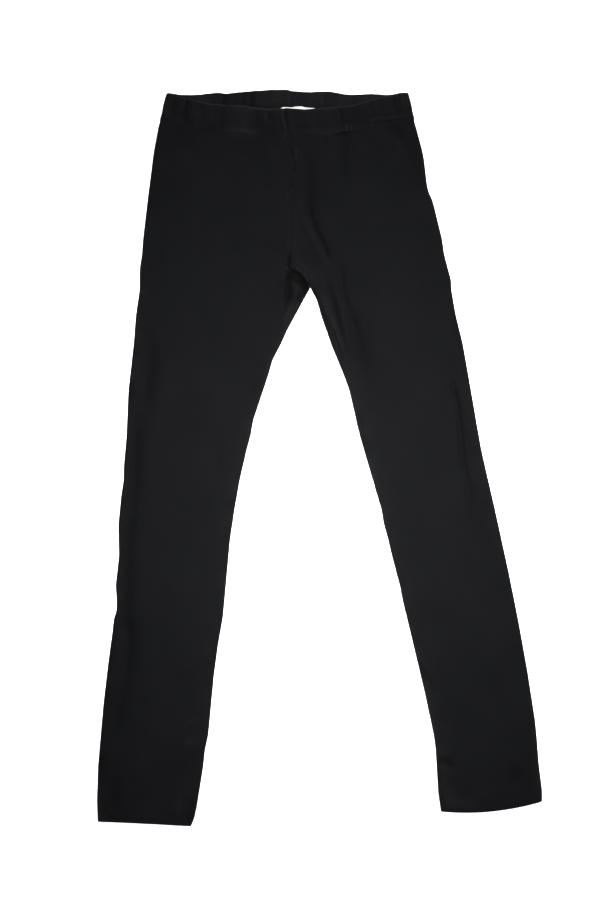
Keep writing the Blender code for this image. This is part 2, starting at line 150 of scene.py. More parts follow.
# How far the legs' front lies below the casing's face at that edge: x, how far
SEAM_STEP = [(-230, 0.08), (-140, 0.08), (-124, 0.5), (-88, 0.5), (-72, 0.08), (126, 0.08)]
# How much paler the casing's lower edge is painted, painted highlight and wear: x, amount
LOW_EDGE_WEAR_AND_HIGHLIGHT = [
    (-215, 0.1), (-185, 0), (-126, 0), (-118, 0.4), (-106, 0.35), (-100, 0.5), (-87, 0.5), (-82, 0.1),
    (-70, 0), (-28, 0), (-20, 0.1), (0, 0.2), (20, 0.3), (28, 0.15), (126, 0.05),
]
# How light the inside of the back wall is: x, amount
BACK_FACE = [
    (-190, 0.05), (-168, 0.3), (-142, 0.3), (-132, 0.03), (-86, 0.03), (-76, 0.3), (-60, 0.4), (-44, 0.5),
    (-30, 0.32), (44, 0.28), (54, 0.4), (90, 0.35), (98, 0.1), (110, 0.15),
]
# How much paler the top edge of the front wall is painted, painted highlight and wear: x, amount
TOP_RIM_WEAR_AND_HIGHLIGHT = [
    (-200, 0.1), (-170, 0.15), (-156, 0.6), (-100, 0.8), (20, 0.7), (70, 0.8), (90, 0.4), (118, 0.1),
]
# The paler lines of those two edges, painted highlight and wear: place below the top edge or above the
# lower one, half width
RIM_LINE = (0.4, 1.5)
LOW_LINE = (1.2, 2.4)
CASING_SEAM = [(-50.5, 470), (-49, 452), (-46, 440), (-44, 431)]

# The centre-front seam from the casing to the crotch: y, x
CENTRE_FRONT = [
    (434, -44.3), (427, -42.5), (411, -36), (395, -33), (384, -32.5), (348.5, -38), (320, -36.5),
    (291, -34.5), (276, -38), (268, -40.5), (254.5, -41), (250, -38), (247, -31.3), (244.2, -26.2),
    (238.7, -21.7), (232.4, -17.2), (226.8, -12.2),
]

# Mesh
UPPER_ROWS_TO = 300.0     # y where the rows get finer towards the crotch
THIGH_ROWS_TO = 110.0     # and where they get coarser again
ROW_STEPS = (2.3, 1.5, 1.7, 4.3, 1.7)  # down to those, the crotch between them, the hem's top and its edge
INNER_SHARE, INNER_COLUMNS = 0.38, 40
OUTER_SHARE, OUTER_COLUMNS = 0.20, 20
MIDDLE_COLUMNS = 20
BACK_COLUMNS = 20
SEAM_SHARES = [0.0, 0.005, 0.011, 0.02]  # the back layer's columns beside its inner end
BACK_FROM = 0.05          # and where its even columns begin
FOLD_COLUMNS = 7          # round a folded edge
LEAST_STEP = 0.35         # a step counts as at least this long on the flat cloth of a leg
CASING_LEAST_STEP = 0.4   # and this long on that of the casing
RIM_STEPS = 4             # round the hem's edge
CASING_STEP = 1.6
CASING_SIDE_ROWS = 22
CASING_TOP_STEPS = 6
CASING_FOLD_STEPS = 10
SHARP_ANGLE = math.radians(60)


# Plain sums


def mix(a, b, share):
    """The value that lies this share of the way from a to b."""
    return a + (b - a) * share


def ease(share):
    """A smooth step from 0 to 1, flat at both ends."""
    share = np.clip(share, 0.0, 1.0)
    return share * share * (3.0 - 2.0 * share)


def bell(distance, width):
    """1 in the middle, dying out over the width on both sides."""
    return np.exp(-((distance / width) ** 2))


def table_line(rows, at, column=1, soften=5.0):
    """A table's column at the given places, read along straight lines and softened over a few mm."""
    rows = sorted(rows)
    places = [row[0] for row in rows]
    values = [row[column] for row in rows]
    at = np.asarray(at, dtype=float)
    offsets = np.array([-1.0, -0.5, 0.0, 0.5, 1.0]) * soften
    weights = np.array([1.0, 2.0, 3.0, 2.0, 1.0]) / 9.0
    return sum(w * np.interp(at + offset, places, values) for offset, w in zip(offsets, weights))


def unit(vectors):
    """The vectors at length 1."""
    return vectors / np.maximum(np.linalg.norm(vectors, axis=-1, keepdims=True), 1e-6)


def run_length(points, least=0.0):
    """How far along its row each point lies; a step counts as at least this long."""
    steps = np.maximum(np.linalg.norm(np.diff(points, axis=-2), axis=-1), least)
    return np.cumsum(np.concatenate([0 * steps[..., :1], steps], axis=-1), axis=-1)


def with_first_again(grid):
    """A grid whose last column is its first one again, to close it round."""
    return np.concatenate([grid, grid[:, :1]], axis=1)


def smooth_path(points, pieces=5):
    """A finer path through the points, on a smooth curve."""
    points = [np.array(p, dtype=float) for p in points]
    if len(points) < 3:
        return np.array(points)
    ends = [2 * points[0] - points[1], *points, 2 * points[-1] - points[-2]]
    fine = []
    for a, b, c, d in zip(ends, ends[1:], ends[2:], ends[3:]):
        for t in np.arange(pieces) / pieces:
            bend = 2 * a - 5 * b + 4 * c - d + t * (3 * b - a - 3 * c + d)
            fine.append(b + 0.5 * t * (c - a + t * bend))
    return np.array([*fine, points[-1]])


def ripple(x, y, height, length, seed, side=0):
    """Slow natural unevenness, the same on each run; each seed gives its own, and so does each side."""
    spots = zip(np.ravel(x) / length, np.ravel(y) / (RIPPLE_LONG * length))
    waves = [noise.noise(Vector((*spot, seed + side))) for spot in spots]
    return height * np.array(waves).reshape(np.shape(x))


# Folds and creases


@dataclass
class Crease:
    """A ridge (height above 0) or a trough (below 0) along a path on the front layer."""

    path: list
    width: float              # half width, or one at each end
    height: float
    power: float = 2.0        # 2 is round, nearer 1 is a sharp crease, 4 has a flat top or floor
    lean: float = 0.0         # above 0 it is wider to the left of its path, below 0 to the right
    fade: tuple = (0.3, 0.3)  # share of its length over which each end dies out
    worn: float = 0.0         # above 0 it is painted paler along it, as painted highlight and partly faded dye; below 0 darker, as painted shade

    def shape(self, x, y):
        """How strongly it is felt at each point, from 0 to 1."""
        path = smooth_path(self.path)
        runs = np.diff(path, axis=0)
        starts = run_length(path)
        best = np.full(np.shape(x), 1e9)
        side = np.zeros(np.shape(x))
        along = np.zeros(np.shape(x))
        for start, run, before, after in zip(path, runs, starts, starts[1:]):
            dx = x - start[0]
            dy = y - start[1]
            share = np.clip((dx * run[0] + dy * run[1]) / (after - before) ** 2, 0.0, 1.0)
            far = np.hypot(dx - share * run[0], dy - share * run[1])
            nearer = far < best
            best = np.where(nearer, far, best)
            side = np.where(nearer, np.sign(run[0] * dy - run[1] * dx), side)
            along = np.where(nearer, mix(before, after, share), along)
        along = along / starts[-1]
        ends = np.ravel([self.width])
        width = mix(ends[0], ends[-1], along) * (1 + self.lean * side)
        first = ease(along / self.fade[0]) if self.fade[0] else 1.0
        last = ease((1 - along) / self.fade[1]) if self.fade[1] else 1.0
        return first * last * np.exp(-((best / width) ** self.power))


def tone(path, width, worn, power=2.0, fade=(0.3, 0.3)):
    """A flat patch that is only painted paler or darker, with no relief."""
    return Crease(path, width, 0.0, power, 0.0, fade, worn)


def straight(rows):
    """Straight creases from rows of x, y of one end, x, y of the other, half width, height, power, and how
    much paler (painted highlight and wear) or darker (painted shade) it is painted.
    """
    return [
        Crease([(x0, y0), (x1, y1)], width, height, power, worn=worn)
        for x0, y0, x1, y1, width, height, power, worn in rows
    ]


def crease_sum(creases, x, y):
    """The height of all the creases together, and how much paler (painted highlight and wear) or darker
    (painted shade) they paint the cloth.
    """
    shapes = [(crease, crease.shape(x, y)) for crease in creases]
    height = sum(crease.height * shape for crease, shape in shapes)
    worn = sum(crease.worn * shape for crease, shape in shapes)
    return height, worn


# In the crease tables, troughs and hollows painted darker are painted shade; ridges, rolls and rims painted
# paler are painted highlight and wear
RIGHT_CREASES = [
    # Broad patches painted a little darker or paler
    tone([(-219, 356), (-224, 316)], 7, -0.17, fade=(0.25, 0.25)),
    # Crotch: the hollow under the left leg's flap, the roll of the back panel and the seam beside it; the
    # hollow and the seam are painted darker as painted shade, the roll paler as painted highlight
    Crease([(-40.5, 245.5), (-35, 241), (-28, 236.5), (-21.5, 230.5), (-15, 222.5)], (6.6, 5.4), -5.4,
           3.2, fade=(0.05, 0), worn=-0.68),
    tone([(-27, 240), (-20.5, 233), (-15.5, 226)], 4, -0.35, 2.4, fade=(0.1, 0)),
    Crease([(-18.5, 229), (-20.5, 220), (-24, 211), (-28, 203)], 4.4, -2.6, 2.4, fade=(0.1, 0.35),
           worn=-0.8),
    Crease([(-31, 230), (-32, 221), (-35, 209.6), (-39.5, 196.5), (-47.5, 180), (-56, 162)], (4.2, 6.5),
           3.2, 2.2, fade=(0.15, 0.5)),
    Crease([(-33.5, 214), (-38, 203), (-45, 190), (-54, 172)], 7.5, 0.4, 2.4, fade=(0.4, 0.5), worn=0.35),
    Crease([(-39.6, 246), (-41.4, 232), (-43.2, 217.5), (-46.5, 203.5), (-51.5, 189)], (3, 1.6), -3.8,
           1.8, fade=(0, 0.65), worn=-0.5),
    Crease([(-46, 262), (-48.5, 240), (-51.5, 220), (-57, 198)], 6, 1.1, fade=(0.4, 0.5), worn=-0.08),
    # Puckers of the centre-front seam
    Crease([(-47.5, 434), (-46.5, 424)], 1.5, 0.7, fade=(0.2, 0.2), worn=0.4),
    Crease([(-43, 431), (-40.8, 424.5)], 2.2, -1.1, 1.8, fade=(0.2, 0.2), worn=-0.3),
    Crease([(-36.5, 416), (-34.8, 399)], 1.8, -1.6, 1.6, fade=(0.2, 0.2), worn=-0.5),
    Crease([(-41.5, 353), (-41.5, 344)], 1.6, 0.7, fade=(0.2, 0.2), worn=0.4),
    Crease([(-38.6, 352), (-38.4, 343)], 1.4, -0.8, 1.8, fade=(0.2, 0.2), worn=-0.3),
    Crease([(-40, 272), (-42, 264), (-42.5, 254)], 1.2, -1.6, 1.6, fade=(0.4, 0), worn=-0.5),
    Crease([(-42.5, 300), (-44, 285), (-45.5, 268)], 4, 0.9, fade=(0.4, 0.3)),
    # Wrinkles that run out from the crotch
    Crease([(-46, 268), (-75, 279), (-108, 258)], 6, -0.7),
    Crease([(-52, 256), (-76, 258), (-104, 238)], 8, 0.9),
    Crease([(-62, 212), (-78, 196), (-90, 170)], 7, -0.6),
    # Below the casing and down the hip
    Crease([(-133, 434), (-124, 424), (-108, 404), (-82, 391), (-62, 374)], 5, -0.4, 1.6,
           fade=(0.1, 0.5)),
    tone([(-186, 436), (-184, 396)], 24, -0.12, fade=(0, 0.5)),
    tone([(-126, 432), (-104, 431), (-84, 431)], 3.4, 0.22, fade=(0.1, 0.1)),
    Crease([(-121, 433), (-103, 430), (-86, 431)], 3, -0.8, 1.6),
    Crease([(-178, 440), (-174, 400), (-181, 365)], 7, -0.6),
    Crease([(-196, 314), (-208, 300), (-219, 276)], 5.5, -0.8),
    Crease([(-216, 352), (-214, 326), (-221, 300)], 7, -0.7),
    # The long valley beside the outside fold, painted a little darker there as painted shade, and the roll
    # outside it
    Crease([(-229, 176), (-230.5, 134), (-231, 94), (-235, 50)], 8, -1.9, lean=0.3, fade=(0.35, 0.3),
           worn=-0.1),
    Crease([(-245, 66), (-248.5, 14), (-252, -60), (-258, -112), (-260.5, -150), (-260.5, -190),
           (-260, -218), (-257, -245), (-258, -272), (-261.5, -300)], 7, -2.3, lean=0.3, fade=(0.1, 0.15),
           worn=-0.1),
    Crease([(-258, -235), (-257, -262), (-260.5, -296)], 5, -0.8, worn=-0.08),
    Crease([(-258.5, -262), (-262, -300), (-270, -334), (-274, -362), (-280, -388)], 6.5, -1.8, lean=0.3,
           fade=(0.3, 0.4), worn=-0.1),
    tone([(-256, -190), (-262, -290), (-272, -400), (-276, -490)], 36, -0.1, fade=(0.3, 0)),
    tone([(-284, -385), (-288, -430), (-286, -478)], 16, -0.12, fade=(0.3, 0.1)),
    Crease([(-241, 165), (-250, 60), (-257, -30), (-263, -110)], 4.5, 0.6),
    Crease([(-270, -230), (-273, -270), (-279, -320)], 4.5, 0.6),
    Crease([(-205, 160), (-222, 30), (-232, -40)], 13, 0.9),
    # Beside the inside fold
    Crease([(-70, 154), (-76, 124), (-92, 92), (-100, 62)], 5.5, -0.9),
    Crease([(-128, 22), (-137, 0), (-141, -30)], 5, -0.8),
    Crease([(-99, 48), (-106, 38), (-112, 20)], 5, 0.9),
    # Small wrinkles at the outside fold
    Crease([(-270, -210), (-262, -218), (-250, -240)], 4, -1.6, 1.6, worn=-0.25),
    Crease([(-276, -418), (-277, -440), (-272, -474)], 8, -0.9, lean=0.2, fade=(0.3, 0.2), worn=-0.15),
    Crease([(-291, -432), (-292, -460), (-292, -484)], 4.5, 0.6, fade=(0.2, 0), worn=0.25),
    Crease([(-286, -322), (-289, -350), (-290.5, -374)], 4.5, 0.5, worn=0.15),
    Crease([(-291, -388), (-292, -408), (-292, -430)], 7, -0.5, worn=-0.35),
    # The inside-leg seam, which lies on the front near the hem
    Crease([(-176, -420), (-182, -440), (-184.5, -460), (-184, -492)], 1.4, -0.9, 1.6, fade=(0.5, 0)),
    Crease([(-181, -436), (-188, -452), (-189, -482)], 3.8, 0.6, fade=(0.3, 0.1), worn=0.08),
    Crease([(-173, -450), (-174, -492)], 4.6, -0.6, 2.4, fade=(0.3, 0), worn=-0.4),
]

# Straight ones, as straight() reads them
RIGHT_MARKS = [
    # Broad patches painted a little darker or paler
    (-178, 408, -166, 350, 26, 0, 2, -0.06), (-252, -128, -256, -196, 24, 0, 2, -0.07),
    (-128, 100, -140, 36, 22, 0, 2, 0.05), (-193, -322, -199, -372, 12, 0, 2, -0.08),
    # Puckers of the centre-front seam
    (-33.5, 394, -33, 378, 3.2, -1.2, 2, -0.3), (-34.5, 292, -35.5, 279, 1.5, -0.7, 1.6, -0.1),
    # Below the casing and down the hip
    (-150, 436, -146, 415, 4, -0.5, 2, 0), (-66, 432, -63, 405, 4, -0.5, 2, 0),
    (-190, 415, -170, 330, 22, 0.9, 2, 0), (-62, 420, -56, 300, 14, 1, 2, 0),
    # Pale swells on the lower leg
    (-170, -344, -166, -358, 6, 0.3, 2, 0.2), (-177, -371, -172, -392, 6, 0.3, 2, 0.2),
    # The broad swell beside the long valley
    (-228, -110, -240, -330, 13, 1, 2, 0),
    # Small wrinkles across the inside fold
    (-131, -190, -142, -200, 3, -0.9, 1.6, 0), (-135, -224, -148, -229, 3, -0.8, 1.6, 0),
    (-139, -248, -152, -257, 3, -0.9, 1.6, 0), (-142, -272, -152, -276, 4, 0.8, 2, 0),
    (-143, -300, -158, -309, 3.2, -0.9, 1.6, 0), (-150, -348, -170, -356, 4, 0.8, 2, 0),
    (-152, -362, -166, -366, 3, -0.8, 1.6, 0), (-156, -382, -180, -386, 4, 0.7, 2, 0),
    # Small wrinkles at the outside fold
    (-272, -172, -258, -182, 3.4, -1, 1.6, 0), (-276, -226, -266, -246, 4.5, 0.9, 2, 0),
    (-294, -408, -276, -418, 3.5, -0.7, 2, 0),
]

# Troughs and hollows painted darker here are painted shade; ridges, rolls and rims painted paler are
# painted highlight and wear
LEFT_CREASES = [
    # The flap of the front over the crotch, with a painted highlight along its edge
    Crease([(-34, 276), (-34.5, 262), (-31, 255.5), (-23, 250.5), (-15, 242), (-7, 230), (-1, 218)],
           (5, 6.5), 2.6, 3, fade=(0.25, 0.35)),
    Crease([(-37.2, 270), (-37.8, 254.5), (-28, 250.5), (-21, 244.5), (-14, 233), (-8, 226)], 2, 0.2,
           worn=0.6),
    # Puckers of the centre-front seam
    Crease([(-31.8, 296), (-34.2, 278)], 1.4, 0.3, fade=(0.2, 0.2), worn=0.35),
    Crease([(-31.6, 415), (-31, 396)], 1.3, 0.7, fade=(0.2, 0.2), worn=0.5),
    Crease([(-33, 436), (-31.5, 424)], 1.4, 0.7, fade=(0.2, 0.2), worn=0.4),
    # The deep crease above the flap: a soft valley that narrows to a sharp one, with ridges beside it
    Crease([(-18.5, 410), (-17, 385), (-15.5, 352), (-15, 336), (-12, 322)], (9, 6.5), -1.5, 2.6,
           lean=0.1, fade=(0.25, 0.3), worn=-0.12),
    Crease([(-17.5, 350), (-16, 332), (-13.5, 319), (-7.5, 305.5), (-1, 292), (5.5, 278.5), (10.5, 265),
           (12.5, 256)], (5.6, 3.4), -2.9, 2.2, lean=0.25, fade=(0.2, 0.2), worn=-0.22),
    Crease([(-26, 330), (-20, 310), (-12, 292), (-1, 274), (6.5, 261), (10.5, 250)], (6, 4), 0.9),
    Crease([(6, 273), (9.5, 263), (11.5, 254)], 2.6, 0.2, worn=0.12),
    Crease([(2, 342), (8, 318), (18, 294), (25, 276)], 8, 0.9),
    Crease([(16, 254), (19, 238), (22, 224), (26, 208), (31, 194), (36, 176), (40.5, 158), (44, 140)],
           (2.6, 4), 0.9, fade=(0.2, 0.4)),
    # The inside-leg seam on the front, the roll beside it and the rim of the back layer outside that
    Crease([(1, 258), (6.5, 244), (10.5, 228), (13.5, 215), (18.5, 205), (22, 190), (26, 175),
           (30.5, 160), (34, 146), (36, 130)], (3, 2), -2.1, 1.7, lean=0.3, fade=(0.4, 0.35), worn=-0.2),
    Crease([(1, 226), (6, 211), (11, 196), (16.5, 181), (22, 167), (27.5, 153), (33, 134)], (6.4, 4), 0.9,
           2.4, fade=(0.3, 0.2), worn=0.18),
    Crease([(4, 196), (9.5, 185), (14.5, 175), (20.5, 163), (24.5, 152), (28.5, 140), (33.5, 123)], 0.9,
           -1.3, worn=-0.15),
    Crease([(2, 192), (8, 176), (16, 158), (24, 138), (30, 122)], 2.6, -0.5, fade=(0.2, 0.2), worn=0.12),
    # Soft valleys of the thigh
    Crease([(26, 266), (27.5, 252), (28.5, 238), (29.5, 226), (31.5, 214), (36.5, 200), (41, 186)],
           (5, 4.5), -2.2, lean=0.2, fade=(0.25, 0.35), worn=-0.15),
    Crease([(36, 204), (42, 186), (47, 170), (49.5, 155), (52, 142), (56, 122), (60, 96)], (5.5, 13),
           -2.1, 2.2, fade=(0.2, 0.35), worn=-0.15),
    Crease([(64, 196), (72, 160), (78, 120)], 8, 0.6),
    Crease([(50, 250), (66, 216), (84, 150)], 5, -0.5),
    tone([(48, 216), (58, 170), (66, 120)], 16, -0.08),
    Crease([(72, 84), (90, 56), (96, 20)], 8, -0.6),
    # Below the casing and down the hip
    Crease([(29, 446), (29, 415), (29, 382), (31, 350)], 8, -1.9, 2.2, fade=(0.05, 0.5), worn=-0.08),
    Crease([(80, 441), (97, 436), (116, 428)], 8.5, -1, fade=(0.35, 0.35), worn=-0.25),
    Crease([(88, 440), (106, 424), (116, 408), (122, 386), (124, 360)], 7, -0.8, fade=(0.3, 0.4)),
    tone([(122, 436), (130, 395), (135, 350)], 15, -0.2, fade=(0.1, 0.2)),
    tone([(136, 338), (144, 290), (154, 258)], 15, -0.12, fade=(0.3, 0.2)),
    tone([(178, 206), (190, 150), (200, 100)], 8, -0.1),
    Crease([(24, 436), (44, 432)], 4, -0.3, fade=(0.2, 0.3), worn=-0.2),
    tone([(-2, 431), (20, 432)], 3.4, 0.2, fade=(0.2, 0.2)),
    # Fine upright lines on the hip
    Crease([(114, 322), (117, 250), (126, 150)], 1.6, -0.45, 1.6),
    Crease([(120, 316), (124, 240), (133, 130)], 1.6, 0.4, 1.6),
    Crease([(128, 300), (133, 220), (142, 110)], 1.6, -0.4, 1.6),
    # Beside the outside fold
    Crease([(163, 152), (172, 128), (177, 104)], 6.5, -1.3, fade=(0.4, 0.2)),
    Crease([(177, 112), (179.5, 90), (183, 74), (185.5, 55), (188, 36), (189.5, 16), (192.5, -8),
           (197, -28), (200, -50), (201.5, -76), (205, -100)], (2.2, 3.8), -2.4, 1.6, lean=0.1,
           fade=(0.12, 0.4), worn=-0.05),
    Crease([(186, 110), (194, 70), (200, 36), (207, 0)], 6.5, 1.4),
    Crease([(168, 100), (176, 50), (186, 0)], 10, 0.9),
    Crease([(196, -20), (202, -50), (206, -80), (218, -124)], 9, -0.8, worn=-0.08),
    Crease([(228, -52), (236, -96), (250, -150)], 5, -0.6),
    # Above the hem, and a paler part of the hem itself
    Crease([(157, -401), (167, -405.5), (182, -415)], 5.2, -1.7, 1.8, fade=(0.1, 0.4), worn=-0.5),
    tone([(164, -454), (190, -461), (222, -465)], 9, 0.3, 3, fade=(0.05, 0.4)),
    # Small wrinkles at the outside fold
    Crease([(276, -432), (262, -418), (252, -412)], 5, -0.8),
]

# Straight ones, as straight() reads them
LEFT_MARKS = [
    # Broad patches painted a little darker or paler
    (6, 414, 14, 344, 28, 0, 2.4, -0.06), (128, 392, 138, 296, 12, 0, 2, -0.08),
    (36, 262, 124, 254, 22, 0, 2, -0.05), (60, 50, 140, 36, 26, 0, 2, 0.04),
    (78, -46, 90, -90, 10, 0, 2, -0.1), (113, 410, 120, 366, 7, 0, 2, -0.1),
    (208, -96, 222, -120, 16, 0, 2, -0.1),
    # Below the casing and down the hip
    (90, 425, 96, 406, 5, -0.6, 2, 0), (60, 436, 62, 405, 5, -0.5, 2, 0), (8, 434, 4, 410, 4, -0.5, 2, 0),
    (112, 400, 122, 300, 12, 0.8, 2, 0),
    # Beside the outside fold
    (222, -60, 226, -74, 3.4, -0.8, 2, -0.12), (212, -60, 240, -180, 12, 0.6, 2, 0),
    # Small wrinkles across the inside fold
    (117, -190, 130, -200, 3, -0.8, 1.6, 0), (131, -262, 147, -272, 3.2, -0.9, 1.6, 0),
    (139, -292, 153, -306, 3, -0.8, 1.6, 0), (134, -276, 146, -286, 4, 0.8, 2, 0),
    (158, -360, 172, -366, 4, 0.7, 2, 0),
    # Above the hem
    (258, -412, 262, -440, 6.5, -0.9, 2, -0.4), (162, -414, 178, -428, 6, 0.4, 2, 0),
    # Small wrinkles at the outside fold
    (250, -182, 236, -178, 3.2, -0.7, 1.6, 0), (272, -262, 258, -256, 3.4, -0.8, 1.6, 0),
    (282, -340, 262, -330, 4, -0.6, 2, 0),
]

# Shallow wrinkles of the layer that lies down, for the left leg and mirrored for the right
BACK_CREASES = [
    Crease([(60, 250), (110, 226), (150, 190)], 9, 0.7),
    Crease([(70, 210), (110, 170), (150, 150)], 8, 0.6),
    Crease([(120, 10), (170, -10), (215, -4)], 9, 0.6),
    Crease([(110, -60), (160, -70), (220, -52)], 8, 0.6),
    Crease([(30, 400), (60, 330), (90, 290)], 10, 0.5),
    Crease([(190, -330), (230, -345), (260, -340)], 7, 0.5),
]


@dataclass
class Leg:
    """The sizes of one leg."""

    side: int                 # -1 the wearer's right leg, 1 the left
    outline_out: list         # the outside fold below the casing: y, x
    outline_in: list          # the inside fold below the crotch: y, x
    skew: list                # y of the outside fold, how much lower the row's inner end lies
    crotch_y: float           # y of the outside fold on the crotch's row
    hem_y: float              # y of the outside fold at the hem
    hem_bow: float            # how far the hem's middle hangs below its corners
    edge_height: list         # y at the inner end, height of the front layer's inner edge
    edge_round: list          # y at the inner end, distance in which it reaches its full height
    fold_wear_and_highlight: list                # y, how much paler the inside fold, the band beside it and the outside fold are painted: painted highlight and wear
    creases: list


RIGHT_LEG = Leg(
    side=-1,
    outline_out=[
        (462, -211), (440.5, -215), (408.5, -221), (355, -228), (291, -235.5), (269.5, -237),
        (258.5, -239), (248, -240), (224, -240), (190.5, -245), (150.5, -248), (90, -255), (30, -257.5),
        (-10, -261), (-30, -261.5), (-50, -264.5), (-90, -268.5), (-130.5, -267.5), (-170.5, -272),
        (-190.5, -270.5), (-206, -271), (-214, -274.5), (-230.5, -276), (-270.5, -281.5), (-331, -288.5),
        (-411, -295.5), (-458, -297), (-484, -296),
    ],
    outline_in=[
        (226.8, -12.6), (223, -14), (212, -20.2), (170.5, -42.8), (150.5, -51.8), (130.5, -62.3),
        (110.5, -68), (50, -88.2), (30, -91.6), (10, -97.2), (-30, -106.2), (-70, -113.4),
        (-110.5, -119.4), (-210.5, -128.4), (-250.5, -135.3), (-291, -140.8), (-371, -148.4),
        (-391, -152.8), (-411, -154.8), (-468.5, -163.9), (-482, -167), (-492.5, -171.5),
    ],
    skew=[
        (460, 0), (262, 0), (247, -2.5), (236.5, -6), (221.5, -6), (194.5, 1.5), (143.5, 4), (90, 9),
        (23.5, 9.5), (-321.5, 10.5), (-384.5, 9), (-435, 7.5), (-484, 6.2),
    ],
    crotch_y=221.5,
    hem_y=-485.7,
    hem_bow=-0.6,
    edge_height=[
        (434, 5.5), (420, 4.9), (412, 4), (402, 3.8), (392, 3.8), (380, 3.9), (372, 4.1), (356, 4.1),
        (350, 3.8), (344, 3.8), (338, 4.1), (296, 4.1), (288, 3.9), (278, 3.7), (270, 3.2), (262, 2.2),
        (250, 1.7), (228, 1.7), (216, 2.2), (200, 2.8), (180, 3.2), (120, 3), (-500, 3.2),
    ],
    edge_round=[
        (434, 0.8), (284, 0.8), (270, 1), (262, 1.6), (250, 5), (230, 6), (200, 5), (150, 7), (-500, 6),
    ],
    fold_wear_and_highlight=[
        (340, 0.1, 0, 0.05), (260, 0.1, 0, 0.22), (205, 0.3, 0.1, 0.25), (170, 0.25, 0.05, 0.25),
        (130, 0.2, 0, 0.25), (60, 0.15, 0.1, 0.2), (-60, 0.05, 0.1, 0.15), (-200, 0.05, 0.08, 0.12),
        (-270, 0.05, 0.07, 0.22), (-330, 0.05, 0.06, 0.1), (-430, 0.05, 0.06, 0.1),
        (-484, 0.05, 0.06, 0.25),
    ],
    creases=RIGHT_CREASES + straight(RIGHT_MARKS),
)

LEFT_LEG = Leg(
    side=1,
    outline_out=[
        (462, 123.5), (451, 126.4), (408.5, 137.9), (398, 139.9), (365.5, 143.5), (355, 145.7),
        (344.5, 150.8), (333.5, 153.8), (291, 164.1), (269.5, 167.2), (237.5, 175.9), (224, 176.4),
        (190.5, 182.2), (150.5, 192), (10, 216.5), (-70, 234.8), (-150.5, 252.4), (-210, 264.4),
        (-230.5, 268.2), (-291, 279), (-351, 288.2), (-371, 290.2), (-411, 293.3), (-444.5, 297.6),
        (-459.5, 297.6),
    ],
    outline_in=[
        (226.8, -12), (223, -10), (210.5, -3.4), (190.5, 2.3), (170.5, 9.2), (150.5, 16.1), (110.5, 32.6),
        (90, 40), (30, 53.8), (-70, 83.1), (-90, 86.5), (-110.5, 92.3), (-130.5, 96.8), (-170.5, 107.5),
        (-190.5, 111.3), (-311, 140.2), (-371, 153), (-386, 155.2), (-405, 156.4), (-444.5, 158.7),
        (-458, 160.2), (-471.5, 162.5),
    ],
    skew=[
        (460, 0), (291, 0), (260.5, -1.5), (247, -2.5), (236.5, -6), (222.5, -5), (186.5, 5.5),
        (150.5, 20), (98.5, 23), (-16.5, 23), (-79.5, 20), (-142.5, 20), (-208, 18.5), (-272, 18),
        (-333.5, 19), (-398, 13), (-435, 13), (-459.5, 13.6),
    ],
    crotch_y=222.5,
    hem_y=-458.8,
    hem_bow=6.3,
    edge_height=[
        (434, 5.5), (420, 4.9), (412, 4.3), (398, 4.2), (388, 4), (372, 4.1), (296, 4.1), (288, 3.9),
        (278, 3.7), (266, 2.9), (250, 1.9), (228, 2), (216, 2.8), (204, 3), (195, 3), (125, 2.8),
        (105, 3.1), (-500, 3.2),
    ],
    edge_round=[
        (434, 0.8), (250, 0.8), (228, 0.9), (215, 3.5), (150, 3.5), (125, 5), (100, 7), (-500, 6),
    ],
    fold_wear_and_highlight=[
        (260, 0.1, 0, 0), (150, 0.1, 0.1, 0.02), (110, 0.2, 0.2, 0.02), (40, 0.25, 0.2, 0.15),
        (-20, 0.2, 0.15, 0.15), (-130, 0.12, 0.1, 0.12), (-180, 0.15, 0.15, 0.1), (-300, 0.2, 0.22, 0.1),
        (-380, 0.1, 0.25, 0.2), (-460, 0.05, 0.2, 0.3),
    ],
    creases=LEFT_CREASES + straight(LEFT_MARKS),
)


# Meshes


